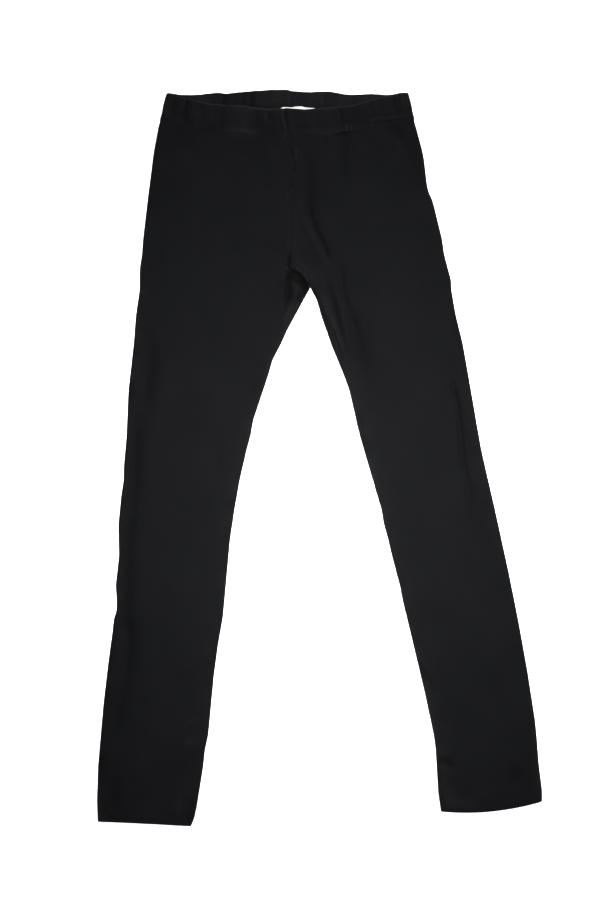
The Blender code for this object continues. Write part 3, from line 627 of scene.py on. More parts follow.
class Shell:
    """Points, each painted more or less pale (painted highlight and wear) or dark (painted shade), and
    four-sided faces with a place on the cloth at each corner.
    """

    def __init__(self):
        self.points = []
        self.worn = []
        self.count = 0
        self.quads = []
        self.corners = []

    def add_points(self, points, worn=0.0):
        """Store an array of points and return an array of their numbers."""
        points = np.asarray(points, dtype=float)
        numbers = np.arange(points[..., 0].size).reshape(points.shape[:-1]) + self.count
        self.points.append(points.reshape(-1, 3))
        self.worn.append(np.broadcast_to(worn, numbers.shape).ravel())
        self.count += numbers.size
        return numbers

    def add_faces(self, numbers, places):
        """Join a grid of point numbers; places has the same shape and gives each one's (u, v)."""
        for grid, store in ((numbers, self.quads), (places, self.corners)):
            around = (grid[:-1, :-1], grid[:-1, 1:], grid[1:, 1:], grid[1:, :-1])
            faces = np.stack(around, axis=2)
            store.append(faces.reshape((-1, 4) + faces.shape[3:]))

    def build(self, name, material):
        """Make the object, without unused points and with its faces turned outwards."""
        used, renumbered = np.unique(np.concatenate(self.quads), return_inverse=True)
        quads = renumbered.reshape(-1, 4)
        points = np.concatenate(self.points)[used] * MM
        worn = np.concatenate(self.worn)[used][quads.ravel()]
        # Paler parts (painted highlight and wear) go in the first value, darker parts (painted shade in
        # folds) in the second
        fading = np.clip(np.stack([worn, -worn], axis=1), 0.0, 1.0)
        mesh = bpy.data.meshes.new(name)
        mesh.from_pydata(points.tolist(), [], quads.tolist())
        for layer, values in (("cloth", np.concatenate(self.corners)), ("worn", fading)):
            mesh.uv_layers.new(name=layer).data.foreach_set("uv", values.ravel())
        work = bmesh.new()
        work.from_mesh(mesh)
        bmesh.ops.recalc_face_normals(work, faces=work.faces)
        work.to_mesh(mesh)
        work.free()
        mesh.materials.append(material)
        mesh.shade_smooth()
        mesh.set_sharp_from_angle(angle=SHARP_ANGLE)
        return add_object(name, mesh)


def add_object(name, data):
    """Put an object with this data in the scene."""
    added = bpy.data.objects.new(name, data)
    bpy.context.collection.objects.link(added)
    return added


# Waist casing


def casing_x(top_x, below):
    """x at this distance below the top edge, for a place with this x on the top edge."""
    return CASING_MIDDLE + (top_x - CASING_MIDDLE) * mix(1.0, CASING_SPREAD, below / CASING_HEIGHT)


def casing_top_x(low_x):
    """x on the casing's top edge, for x on its lower edge."""
    return CASING_MIDDLE + (np.asarray(low_x) - CASING_MIDDLE) / CASING_SPREAD


def casing_low_y(low_x, is_back):
    """y of the casing's lower edge at x on that edge."""
    top_x = casing_top_x(low_x)
    sag = 0.0 if is_back else table_line(CASING_SAG, top_x, soften=FACE_SOFT)
    return table_line(WAIST_EDGE, top_x, 1 + is_back, EDGE_SOFT) - CASING_HEIGHT - sag


def gather_field(gathers, puckers, top_x, below):
    """How far the gathers of the elastic lift a wall."""
    lift = np.zeros(np.broadcast(top_x, below).shape)
    for at, half_width, height, first, last in gathers:
        reach = ease((below - first) / GATHER_FADE + 1) * ease((last - below) / GATHER_FADE + 1)
        lift = lift + height * bell(top_x - at, half_width) * reach
    fine = ripple(top_x + 0 * below, (below + 0 * top_x) * PUCKER_STEEP, *puckers)
    near_edges = np.abs(2 * below / CASING_HEIGHT - PUCKER_CALMEST)
    held = mix(1.0, GATHER_HELD, ease((below - HELD_FROM) / HELD_OVER))
    return (lift + fine * mix(PUCKER_LEAST, 1.0, near_edges)) * held


def front_gathers(top_x, below):
    """How far the front wall's gathers lift it."""
    return GATHER_STRENGTH * gather_field(GATHERS, FRONT_PUCKERS, top_x, below)


def casing_face(x):
    """Height of the casing's front face at its lower edge, for x on that edge."""
    seam_lift, _ = crease_sum(CASING_SEAM_CREASES, x, casing_low_y(x, False))
    level = CASING_THICK - CASING_WALL / 2 + wall_half(CASING_HEIGHT)
    return level + front_gathers(casing_top_x(x), CASING_HEIGHT) + seam_lift


def wall_half(below):
    """Half the casing wall's thickness: full over the elastic, pinched at the stitch rows."""
    swell = np.sin(np.pi * np.clip(below / ELASTIC_TALL, 0, 1)) ** SWELL_FULLNESS
    half = CASING_WALL / 2 + ELASTIC_SWELL * swell
    half = mix(half, PINCHED_HALF, ease((below - PINCH_FROM) / PINCH_OVER))
    rise, wide = BETWEEN_ROWS
    return half + rise * bell(below - sum(STITCH_ROWS) / 2, wide)


def casing_section():
    """One turn of the wall's section: distance below the top edge, and 1 outside to -1 inside."""
    side = np.linspace(CASING_HEIGHT, CASING_WALL / 2, CASING_SIDE_ROWS + 1)
    angles = np.linspace(0, np.pi, CASING_TOP_STEPS + 1)[1:-1]
    rows = [(below, 1.0) for below in side]
    rows += [(CASING_WALL / 2 * (1 - math.sin(angle)), math.cos(angle)) for angle in angles]
    rows += [(below, -1.0) for below in side[::-1]]
    return np.array(rows)


def casing_stations():
    """The way round the casing: x at the top, and the angle of the wall's outward side."""
    tuck = CASING_THICK / 2
    right = WAIST_EDGE[0][0] + tuck
    left = WAIST_EDGE[-1][0] - tuck
    across = np.linspace(right, left, round((left - right + 2 * tuck) / CASING_STEP))
    fold = np.linspace(90, -90, CASING_FOLD_STEPS + 1)[1:-1]
    round_end = np.ones(len(fold))
    top_x = np.concatenate([across, left * round_end, across[::-1], right * round_end])
    angle = np.concatenate([0 * across + 90, fold, 0 * across - 90, fold - 180])
    return top_x, np.radians(angle)


def casing_points(top_x, angle, below, side):
    """Points of the casing's surface, and how much paler (painted highlight and wear) or darker (painted
    shade) they are painted; the four arrays broadcast together.
    """
    is_front = ease((np.sin(angle) + 1) / 2)
    on_front = np.exp(-((1 - np.sin(angle)) * FACE_FOCUS))
    on_back = np.exp(-((1 + np.sin(angle)) * FACE_FOCUS)) * (0.5 - 0.5 * side)
    front_y, back_y = (table_line(WAIST_EDGE, top_x, column, EDGE_SOFT) for column in (1, 2))
    half = wall_half(below)
    radius = CASING_THICK / 2 - CASING_WALL / 2
    x = casing_x(top_x, below) + np.cos(angle) * (radius + side * half)
    sag = is_front * table_line(CASING_SAG, top_x, soften=FACE_SOFT) * below / CASING_HEIGHT
    y = mix(back_y, front_y, is_front) - below - sag + ripple(top_x, 0 * top_x, *RIM_RIPPLE)
    front_seam, front_painted_light_and_wear = crease_sum(CASING_SEAM_CREASES, x, y)
    back_seam, back_painted_light_and_wear = crease_sum(BACK_SEAM_CREASES, x, y)
    front_lift = front_gathers(top_x, below) + front_seam
    back_lift = GATHER_STRENGTH * gather_field(BACK_GATHERS, BACK_PUCKERS, top_x, below) + back_seam
    shift = (CASING_WALL / 2 - half) * (1 - is_front) * np.abs(np.sin(angle))
    z = CASING_THICK / 2 + np.sin(angle) * (radius + side * half) - shift
    z = z + np.where(side > 0, 1.0, 0.5) * on_front * front_lift + on_back * back_lift
    # The top rim and the lower edge are painted paler: painted highlight where they catch the light, and
    # wear
    rim_wear_and_highlight = table_line(TOP_RIM_WEAR_AND_HIGHLIGHT, top_x, soften=FACE_SOFT)
    rim_wear_and_highlight = rim_wear_and_highlight * (1 + ripple(top_x, 0 * top_x, *RIM_WEAR_AND_HIGHLIGHT_RIPPLE))
    on_rim = bell(below - RIM_LINE[0], RIM_LINE[1]) * rim_wear_and_highlight
    low_edge_wear_and_highlight = table_line(LOW_EDGE_WEAR_AND_HIGHLIGHT, top_x, soften=FACE_SOFT)
    on_low_edge = bell(CASING_HEIGHT - LOW_LINE[0] - below, LOW_LINE[1]) * low_edge_wear_and_highlight
    outside = side > 0.5
    front_painted_light_and_wear = np.maximum(on_rim, on_low_edge * outside) + front_painted_light_and_wear * outside
    back_painted_light_and_wear = back_painted_light_and_wear + table_line(BACK_FACE, top_x, soften=FACE_SOFT)
    return np.stack(np.broadcast_arrays(x, y, z), axis=-1), on_front * front_painted_light_and_wear + on_back * back_painted_light_and_wear


# On the casing's front, seam ridges and the broad patches painted paler are painted highlight, and the
# troughs painted darker are painted shade
CASING_SEAM_CREASES = [
    Crease([(x + 2.6, y) for x, y in CASING_SEAM], 2.4, -0.9, 1.8, fade=(0, 0)),
    Crease(CASING_SEAM, 1.2, 0.7, fade=(0.05, 0.3), worn=0.5),
    Crease([(-73, 459.5), (-72, 448.5)], 1.2, 0.35, worn=0.6),
    Crease([(36.5, 446), (36.8, 434)], 1.2, 0.4, fade=(0.25, 0.25), worn=0.6),
    Crease([(42.5, 445), (42.5, 434)], 1.2, 0.4, fade=(0.25, 0.25), worn=0.6),
    Crease([(-206, 482), (-205, 452)], 1.3, 0.5, fade=(0.1, 0.2), worn=0.5),
    Crease([(-184.5, 476), (-184, 450)], 1.4, 0.4, fade=(0.2, 0.3), worn=0.15),
    Crease([(60, 448.5), (76, 451), (97, 452.5), (116, 455.5)], 2, 0.5, fade=(0.2, 0.1), worn=0.28),
    Crease([(66, 443), (84, 445), (100, 446), (118, 449)], 4.5, -0.8, fade=(0.3, 0.1), worn=-0.3),
    Crease([(-186, 462), (-180, 452), (-176, 444)], 7, -0.6, fade=(0.2, 0.2), worn=-0.15),
    tone([(-103, 470), (-104, 434)], 17, 0.27, 2.6, fade=(0, 0)),
    tone([(-66, 470), (-66, 455)], 14, 0.2, 3, fade=(0, 0.4)),
    tone([(1, 470), (1, 434)], 20, 0.17, 2.6, fade=(0, 0)),
    tone([(-72, 452), (-62, 442)], 6, 0.12, fade=(0.2, 0.1)),
    tone([(-164, 470), (-158, 440)], 6, 0.08, fade=(0.2, 0.1)),
    tone([(-38, 468), (-34, 436)], 7, 0.12, fade=(0, 0)),
    tone([(-143, 476), (-143, 442)], 9, 0.13, fade=(0, 0.2)),
    tone([(82, 480), (84, 454)], 15, 0.1, fade=(0, 0.3)),
    tone([(110, 488), (114, 456)], 7, 0.22, fade=(0, 0.2)),
    tone([(-212, 446), (-213, 434)], 4, 0.3, fade=(0.1, 0)),
]
BACK_SEAM_CREASES = [
    Crease([(-37.5, 494), (-38.5, 470), (-39, 452)], 1.4, -0.8, 1.8, fade=(0, 0)),
    Crease([(-43, 494), (-44, 470), (-44.5, 452)], 3.2, 0.7, 2.2, fade=(0, 0)),
]


def build_casing(material):
    """The waist casing, a flattened ring of doubled cloth over elastic."""
    top_x, angle = casing_stations()
    section = casing_section()
    below, side = (section[:, column:column + 1] for column in (0, 1))
    points, worn = casing_points(top_x[None, :], angle[None, :], below, side)
    shell = Shell()
    numbers = with_first_again(shell.add_points(points, worn))
    around = run_length(with_first_again(points[:1])[0, :, :2], CASING_LEAST_STEP)
    down = run_length(section * [1.0, CASING_WALL / 2])
    places = np.stack(np.meshgrid(around, down), axis=-1) * MM
    shell.add_faces(numbers, places)
    shell.add_faces(numbers[[-1, 0]], places[[-1, -1]])
    return shell.build("waist_casing", material)

# Legs


def row_places(leg, top_y):
    """y of the outside fold at each row of the mesh, and the number of the crotch's row."""
    stops = [UPPER_ROWS_TO, leg.crotch_y, THIGH_ROWS_TO, leg.hem_y + HEM_TALL + HEM_STEP, leg.hem_y]
    rows = [top_y]
    for stop, step in zip(stops, ROW_STEPS):
        count = max(1, round((rows[-1] - stop) / step))
        rows.extend(np.linspace(rows[-1], stop, count + 1)[1:])
    return np.array(rows), rows.index(leg.crotch_y)


def front_shares():
    """How far each column of the front layer lies from its inner end (0) to its outer end (1)."""
    inner = np.linspace(0, INNER_SHARE, INNER_COLUMNS + 1)
    middle = np.linspace(INNER_SHARE, 1 - OUTER_SHARE, MIDDLE_COLUMNS + 1)
    outer = np.linspace(1 - OUTER_SHARE, 1, OUTER_COLUMNS + 1)
    return np.concatenate([inner, middle[1:], outer[1:]])


class LegForm:
    """Everything that follows from one leg's sizes: its rows, its two layers and its folds."""

    def __init__(self, leg):
        self.leg = leg
        low_x = casing_x(WAIST_EDGE[0 if leg.side < 0 else -1][0], CASING_HEIGHT)
        top_y = float(casing_low_y(low_x, False) + casing_low_y(low_x, True)) / 2
        self.rows, self.crotch = row_places(leg, top_y)
        self.is_tube = np.arange(len(self.rows)) >= self.crotch
        hem_above = self.rows - leg.hem_y
        self.hem = 1 - ease(hem_above / HEM_EASE)
        self.cloth = mix(HEM_CLOTH, CLOTH, ease((hem_above - HEM_TALL) / HEM_STEP))
        below_crotch = self.rows[self.crotch] - self.rows
        self.tuck = LEG_THICK / 2 * mix(CROTCH_TUCK, 1.0, ease(below_crotch / TUCK_EASE))
        self.outer = self.outside_fold(low_x)
        self.front, self.back = self.inner_ends()
        fading = np.clip(1 - (self.front[0, 1] - self.front[:, 1]) / WAIST_FADE, 0.0, 1.0) ** 2
        self.waist = np.where(self.is_tube, 0.0, fading)

    def outside_fold(self, low_x):
        """x, y of the outside fold at each row."""
        x = table_line(self.leg.outline_out, self.rows)
        top_share = np.clip(1 - (self.rows[0] - self.rows) / OUTER_BLEND, 0, 1)
        return np.stack([mix(x, low_x, top_share), self.rows], axis=1)

    def inner_ends(self):
        """x, y of the two layers' inner ends at each row."""
        y = self.rows - table_line(self.leg.skew, self.rows, soften=8.0)
        crotch_y, crotch_x = CENTRE_FRONT[-1]
        low = casing_low_y(CENTRE_FRONT[0][1], False)
        top = self.rows[0]
        y = np.where(self.is_tube, y, mix(low, crotch_y, (top - y) / (top - y[self.crotch])))
        seam = table_line(CENTRE_FRONT, y, soften=2.0) + self.leg.side * CLEAR
        inside = table_line(self.leg.outline_in, y, soften=3.0)
        inside[self.crotch] = crotch_x
        front = np.stack([np.where(self.is_tube, inside, seam), y], axis=1)
        share = np.clip((low - y) / (low - crotch_y), 0, 1)
        back_x = mix(CENTRE_BACK_X, crotch_x, share**3) + self.leg.side * CLEAR
        back_y = mix(casing_low_y(CENTRE_BACK_X, True), crotch_y, share)
        return front, np.where(self.is_tube[:, None], front, np.stack([back_x, back_y], axis=1))

    def layer(self, is_back, shares):
        """x, y of a layer at the given shares of the way out, and distances from its two ends."""
        inner = self.back if is_back else self.front
        length = np.hypot(*(self.outer - inner).T)[:, None]
        first = np.where(self.is_tube[:, None], self.tuck[:, None] / length, 0.0)
        last = 1 - LEG_THICK / 2 / length
        share = mix(first, last, shares[None, :])
        x, y = (mix(inner[:, k:k + 1], self.outer[:, k:k + 1], share) for k in (0, 1))
        top_x, top_y = (mix(inner[0, k], self.outer[0, k], share) for k in (0, 1))
        sewn_y = casing_low_y(top_x, is_back) + (0.0 if is_back else SEAM_CATCH)
        y = y + (sewn_y - top_y) * self.waist[:, None]
        y = y - self.leg.hem_bow * self.hem[:, None] * 4 * share * (1 - share)
        return x, y, (share - first) * length, (last - share) * length

    def back_height(self, x, y, from_inner, from_outer):
        """How far the back layer lifts off the surface in shallow wrinkles."""
        calm = ease(from_inner / BACK_CALM) * ease(from_outer / BACK_CALM)
        lift, _ = crease_sum(BACK_CREASES, self.leg.side * x, y)
        groove = np.where(self.is_tube[:, None], 0.0, SEAM_GROOVE * bell(from_inner, SEAM_ROUND))
        uneven = np.maximum(ripple(x, y, *BACK_RIPPLE, self.leg.side), 0.0)
        return groove + calm * (np.maximum(lift, 0.0) + uneven)

    def front_height(self, x, y, from_inner, from_outer):
        """Height of the front layer's outer surface, and how much paler (painted highlight and wear) or
        darker (painted shade) it is painted.
        """
        is_tube = self.is_tube[:, None]
        waist = self.waist[:, None]
        hem = 2 * (self.cloth - CLOTH)[:, None]
        base = LEG_THICK + WAIST_RISE * waist + hem
        crown = CROWN * 4 * from_inner * from_outer / (from_inner + from_outer) ** 2
        uneven = ripple(x, y, *WIDE_RIPPLE, self.leg.side)
        uneven = uneven + ripple(x, y, *FINE_RIPPLE, self.leg.side)
        folds, worn = crease_sum(self.leg.creases, x, y)
        sewn = casing_face(x[:1]) - table_line(SEAM_STEP, x[:1], soften=EDGE_SOFT) - base[0]
        from_waist = ease((self.rows[0] - self.rows) / WAIST_BLEND)[:, None]
        top = base + (crown + uneven) * (1 - waist) + mix(sewn, folds, from_waist)
        # The inner end: rolled above the crotch, a folded edge below it
        low = table_line(self.leg.edge_height, self.front[:, 1], soften=3.0)[:, None]
        low = np.where(is_tube, low + hem * HEM_FOLD_SHARE, low)
        reach = table_line(self.leg.edge_round, self.front[:, 1], soften=4.0)[:, None]
        step = np.clip(from_inner / reach, 0, 1)
        top = mix(low, top, np.where(is_tube, ease(step), np.sqrt(1 - (1 - step) ** 2)))
        # The outside fold
        outer_low = OUTER_LOW + WAIST_RISE * waist + hem * HEM_FOLD_SHARE
        top = mix(np.minimum(outer_low, top), top, ease(from_outer / OUTER_ROUND))
        least = (2 * self.cloth + FRONT_FLOOR)[:, None]
        top = least + np.logaddexp(0.0, (top - least) / FRONT_SOFT) * FRONT_SOFT
        return top, worn + self.edge_wear_and_highlight(x, y, from_inner, from_outer)

    def edge_wear_and_highlight(self, x, y, from_inner, from_outer):
        """How much paler the cloth is painted along the folded edges: painted highlight, and wear."""
        patchy = np.clip(WEAR_AND_HIGHLIGHT_MEAN + ripple(x, y, *WEAR_AND_HIGHLIGHT_RIPPLE, self.leg.side), *WEAR_AND_HIGHLIGHT_LIMITS)
        fold, band, outside = (
            table_line(self.leg.fold_wear_and_highlight, self.rows, k, soften=20.0)[:, None] for k in (1, 2, 3)
        )
        inner = fold * bell(from_inner, EDGE_WEAR_AND_HIGHLIGHT_REACH) + band * bell(from_inner, BAND_WEAR_AND_HIGHLIGHT_REACH)
        outer = outside * bell(from_outer, EDGE_WEAR_AND_HIGHLIGHT_REACH)
        return patchy * (np.where(self.is_tube[:, None], inner, 0.0) + outer)

    def grids(self):
        """The outer and the inner surface as grids of points, how many columns are left above the crotch,
        and how much paler (painted highlight and wear) or darker (painted shade) each point of the outer
        surface is painted."""
        shares = front_shares()
        back_shares = np.concatenate([SEAM_SHARES, np.linspace(BACK_FROM, 1, BACK_COLUMNS)])
        fx, fy, *front_ends = self.layer(False, shares)
        bx, by, *back_ends = self.layer(True, back_shares)
        top, worn = self.front_height(fx, fy, *front_ends)
        bottom = self.back_height(bx, by, *back_ends)
        cloth = self.cloth[:, None]
        grids = []
        for inset in (0 * cloth, cloth):
            front = np.stack([fx, fy, top - inset], axis=2)
            back = np.stack([bx, by, bottom + inset], axis=2)[:, ::-1]
            outer = self.fold(front[:, -1], back[:, 0], self.outer, LEG_THICK / 2 - inset[:, 0])
            inner = self.fold(back[:, -1], front[:, 0], self.front, self.tuck - inset[:, 0])
            grids.append(np.concatenate([front, outer, back, inner], axis=1))
        outer, inner = (np.repeat(worn[:, column], FOLD_COLUMNS, axis=1) for column in ([-1], [0]))
        worn = np.concatenate([worn, outer, np.zeros(bottom.shape), inner], axis=1)
        return grids, len(shares) + FOLD_COLUMNS + len(back_shares), worn

    def fold(self, start, end, tip, wide):
        """Points round a folded edge, from the end of one layer to the start of the other."""
        middle = (start + end) / 2
        away = unit(tip - middle[:, :2])
        half = (start[:, 2] - end[:, 2]) / 2
        wide = np.maximum(wide, FOLD_LEAST)
        points = []
        for share in np.arange(1, FOLD_COLUMNS + 1) / (FOLD_COLUMNS + 1):
            angle = math.pi * (0.5 - share)
            xy = mix(start[:, :2], end[:, :2], share) + away * (wide * math.cos(angle))[:, None]
            z = middle[:, 2] + half * math.sin(angle)
            points.append(np.concatenate([xy, z[:, None]], axis=1))
        return np.stack(points, axis=1)

    def places(self, outer):
        """A place on the flat cloth for each point: across from the outside fold, and along it."""
        across = run_length(with_first_again(outer)[:, :, :2], LEAST_STEP)
        fold = len(front_shares()) + FOLD_COLUMNS // 2
        across = across - across[:, fold:fold + 1]
        along = run_length(self.outer)[:, None] + 0 * across
        return np.stack([across, along], axis=2) * MM


def half_round(outer, inner, ahead):
    """Rings of points that close the hem's edge with a half-round rim between its two surfaces."""
    middle = (outer + inner) / 2
    half = (outer - inner) / 2
    reach = ahead * np.linalg.norm(half, axis=-1, keepdims=True)
    angles = np.pi * np.arange(1, RIM_STEPS) / RIM_STEPS
    return np.stack([middle + half * math.cos(angle) + reach * math.sin(angle) for angle in angles])


def build_leg(name, form, material):
    """One leg panel: a wall of cloth, open above the crotch and a flattened tube below it."""
    (outer, inner), open_count, worn = form.grids()
    crotch = form.crotch
    shell = Shell()
    places = form.places(outer)
    numbers = (shell.add_points(outer, worn), shell.add_points(inner))
    walls = np.stack([with_first_again(grid) for grid in numbers])
    for grid in walls:
        shell.add_faces(grid[:crotch + 1, :open_count], places[:crotch + 1, :open_count])
        shell.add_faces(grid[crotch:], places[crotch:])
    # The cut edges: under the casing, along the two centre seams and over the crotch
    shell.add_faces(walls[:, 0, :open_count], places[[0, 0], :open_count])
    for edge in (0, open_count - 1):
        shell.add_faces(walls[:, :crotch + 1, edge], np.stack([places[:crotch + 1, edge]] * 2))
    shell.add_faces(walls[:, crotch, open_count - 1:], places[[crotch, crotch], open_count - 1:])
    # The hem's edge
    ahead = unit((outer[-1] - outer[-2]) * [1, 1, 0])
    rings = with_first_again(shell.add_points(half_round(outer[-1], inner[-1], ahead)))
    rim = np.concatenate([walls[:1, -1], rings, walls[1:, -1]])
    shell.add_faces(rim, np.stack([places[-1]] * len(rim)))
    return shell.build(name, material), outer


# Stitching


STITCH_PITCH = 2.9
STITCH_LENGTH = 2.2
THREAD = 0.24             # half the thread's thickness
THREAD_SIDES = 6
# Along one stitch: how far the thread's middle lies above the cloth, and how thick the thread is
STITCH_RISE = np.array([-0.25, 0.04, 0.1, 0.04, -0.25])
STITCH_THICK = np.array([0.45, 0.95, 1.0, 0.95, 0.45]) * THREAD


def stitch_row(shell, loop, lift):
    """Short stitches along a closed loop of surface points, standing a little proud of it."""
    loop, lift = (np.concatenate([grid, grid[:1]]) for grid in (loop, lift))
    run = run_length(loop)
    count = int(run[-1] // STITCH_PITCH)
    turn = np.linspace(0, 2 * np.pi, THREAD_SIDES + 1)[:-1, None]
    for start in run[-1] / count * np.arange(count):
        at = start + np.linspace(0, STITCH_LENGTH, len(STITCH_RISE))
        centre, up = (
            np.stack([np.interp(at, run, values) for values in grid.T], axis=1) for grid in (loop, lift)
        )
        up = unit(up)
        aside = np.cross(unit(centre[-1] - centre[0]), up)
        centre = centre + up * STITCH_RISE[:, None]
        spokes = np.cos(turn) * aside[:, None] + np.sin(turn) * up[:, None]
        rings = shell.add_points(centre[:, None] + STITCH_THICK[:, None, None] * spokes)
        rings = with_first_again(rings)
        shell.add_faces(rings, np.zeros(rings.shape + (2,)))
        for end in (0, -1):
            ring = rings[end]
            cap = shell.add_points(centre[end])
            for side in range(0, THREAD_SIDES, 2):
                face = np.array([[cap, ring[side]], [ring[side + 2], ring[side + 1]]])
                shell.add_faces(face, np.zeros((2, 2, 2)))


def surface_loop(rows, at):
    """A loop across a grid of surface points at a share between two rows, with its outward side."""
    low = int(np.clip(math.floor(at), 1, len(rows) - 3))
    loop = mix(rows[low], rows[low + 1], at - low)
    along = rows[low + 1] - rows[low - 1]
    around = np.roll(loop, -1, axis=0) - np.roll(loop, 1, axis=0)
    lift = unit(np.cross(along, around))
    return loop, lift if lift[np.argmax(loop[:, 2]), 2] > 0 else -lift


def build_hem_stitches(name, form, outer, material):
    """The hem's two rows of stitches."""
    shell = Shell()
    above = form.rows - form.leg.hem_y
    for distance in HEM_STITCH_ROWS:
        at = float(np.interp(-distance, -above, np.arange(len(above))))
        stitch_row(shell, *surface_loop(outer, at))
    return shell.build(name, material)


def build_casing_stitches(material):
    """The two rows of stitches that hold the casing down."""
    top_x, angle = casing_stations()
    shell = Shell()
    for distance in STITCH_ROWS:
        below = distance + np.linspace(-1.0, 1.0, 5)[:, None]
        rows, _ = casing_points(top_x[None, :], angle[None, :], below, np.array([[1.0]]))
        stitch_row(shell, *surface_loop(rows, 2.0))
    return shell.build("casing_stitches", material)


# Label


LABEL_SIDES = (-51.5, -2.5)
LABEL_LOW_Y = 448.0
LABEL_TOP = [
    (-51.5, 466.3), (-48, 467.9), (-40.5, 467.4), (-37, 467.2), (-33.4, 468.2), (-29.4, 468.6),
    (-23, 468.5), (-20, 467.4), (-13, 466.9), (-7.5, 466.6), (-5, 465.9), (-2.5, 464.8),
]
LABEL_THICK = 0.4
LABEL_AIR = 0.75          # between the back wall and the label
LABEL_LIFT = 0.35         # its top edge stands off a little more
LABEL_BULGE = (0.5, -25.0, 6.0)  # height, x and half width of a soft bulge there
LABEL_WAVE = (0.25, 5.0)  # height of the small waves there, and their length divided by 2 pi
LABEL_LOOSE = 0.5         # share of its height over which it lies down again
LABEL_COLUMNS, LABEL_ROWS = 50, 20


def build_label(material):
    """The blank label, sewn to the inside of the back wall, its top edge a little rumpled."""
    x = np.linspace(*LABEL_SIDES, LABEL_COLUMNS)[None, :]
    down = np.linspace(0, 1, LABEL_ROWS)[:, None]
    y = mix(table_line(LABEL_TOP, x, soften=1.5), LABEL_LOW_Y, down)
    bulge, bulge_x, bulge_wide = LABEL_BULGE
    rumple = bulge * bell(x - bulge_x, bulge_wide) + LABEL_WAVE[0] * np.sin(x / LABEL_WAVE[1])
    z = CASING_WALL + LABEL_AIR + (rumple + LABEL_LIFT) * (1 - ease(down / LABEL_LOOSE))
    shell = Shell()
    faces = [np.stack(np.broadcast_arrays(x, y, level), axis=2) for level in (z, z + LABEL_THICK)]
    grids = [shell.add_points(face) for face in faces]
    places = faces[0][:, :, :2] * MM
    for grid in grids:
        shell.add_faces(grid, places)
    for cut in (np.s_[0], np.s_[-1], np.s_[:, 0], np.s_[:, -1]):
        shell.add_faces(np.stack([grid[cut] for grid in grids]), np.stack([places[cut]] * 2))
    return shell.build("blank_label", material)


# Materials


# Colours: of the jersey and of the casing, from the darkest to the palest part of the knit
JERSEY_DYE = (0.0038, 0.0040, 0.0046), (0.0082, 0.0084, 0.0097)
CASING_DYE = (0.0037, 0.0039, 0.0045), (0.0081, 0.0083, 0.0096)
DYE_RANGE = (0.3, 0.78)   # the shades between which it changes from the one to the other
WORN_AND_HIGHLIGHT_COLOUR = (0.0165, 0.0168, 0.018)  # paler black on rims and ridges: painted highlight, partly faded dye
FOLD_SHADE_COLOUR = (0.0008, 0.0008, 0.0009)  # painted shade: near-black in the depth of folds, creases and recesses
THREAD_DYE = (0.003, 0.003, 0.0035), (0.009, 0.009, 0.0105)
SATIN_WHITE = (0.5, 0.495, 0.485), (0.72, 0.72, 0.71)

# What makes up the jersey's shade: share of it, noise scale, noise detail
CLOUDS = (0.5, 16.0, 3.0)
MOTTLE = (0.3, 420.0, 2.0)
STREAKS = (0.2, 1.0, 1.0)
STREAK_STRETCH = (700.0, 18.0, 1.0)  # scale across and along the wales
KNIT_SHADE = 0.35         # how much painted shade darkens the hollows of the knit
WEAR_AND_HIGHLIGHT_PATCHES = (0.6, 0.7)  # how much the mottle breaks up the painted highlight and wear, and what is left between
WALE = 0.95 * MM          # width of one column of knit loops
COURSE = 0.8 * MM         # height of one row of them
LOOP_LEAN = 1.3           # how steeply the two sides of a loop run together
LOOP_DEPTH = 0.3          # share of the relief that the single loops make
YARN_ROUND = 14.0         # how fast a loop's side falls away from its middle
FUZZ = (0.35, 900.0, 2.0)  # fine fibre on the relief: share, noise scale, noise detail

JERSEY_ROUGH = 0.62
CLOUDS_ROUGH = 0.12       # roughness differs this much from cloud to cloud
JERSEY_SPECULAR = 0.05
JERSEY_SHEEN = 0.012
SHEEN_ROUGH = 0.45
SHEEN_TINT = (0.85, 0.9, 1.0, 1.0)
TWIST = (2500.0, 1.0)     # noise scale and detail of the thread
WEAVE = (1.0, 1.0)        # and of the satin
SATIN_STRETCH = (2600.0, 9000.0, 1.0)  # scale of the weave across and down the label
# Relief of each cloth: strength, depth in metres
JERSEY_RELIEF = (0.25, 0.00015)
THREAD_RELIEF = (0.4, 0.0001)
SATIN_RELIEF = (0.4, 0.00008)


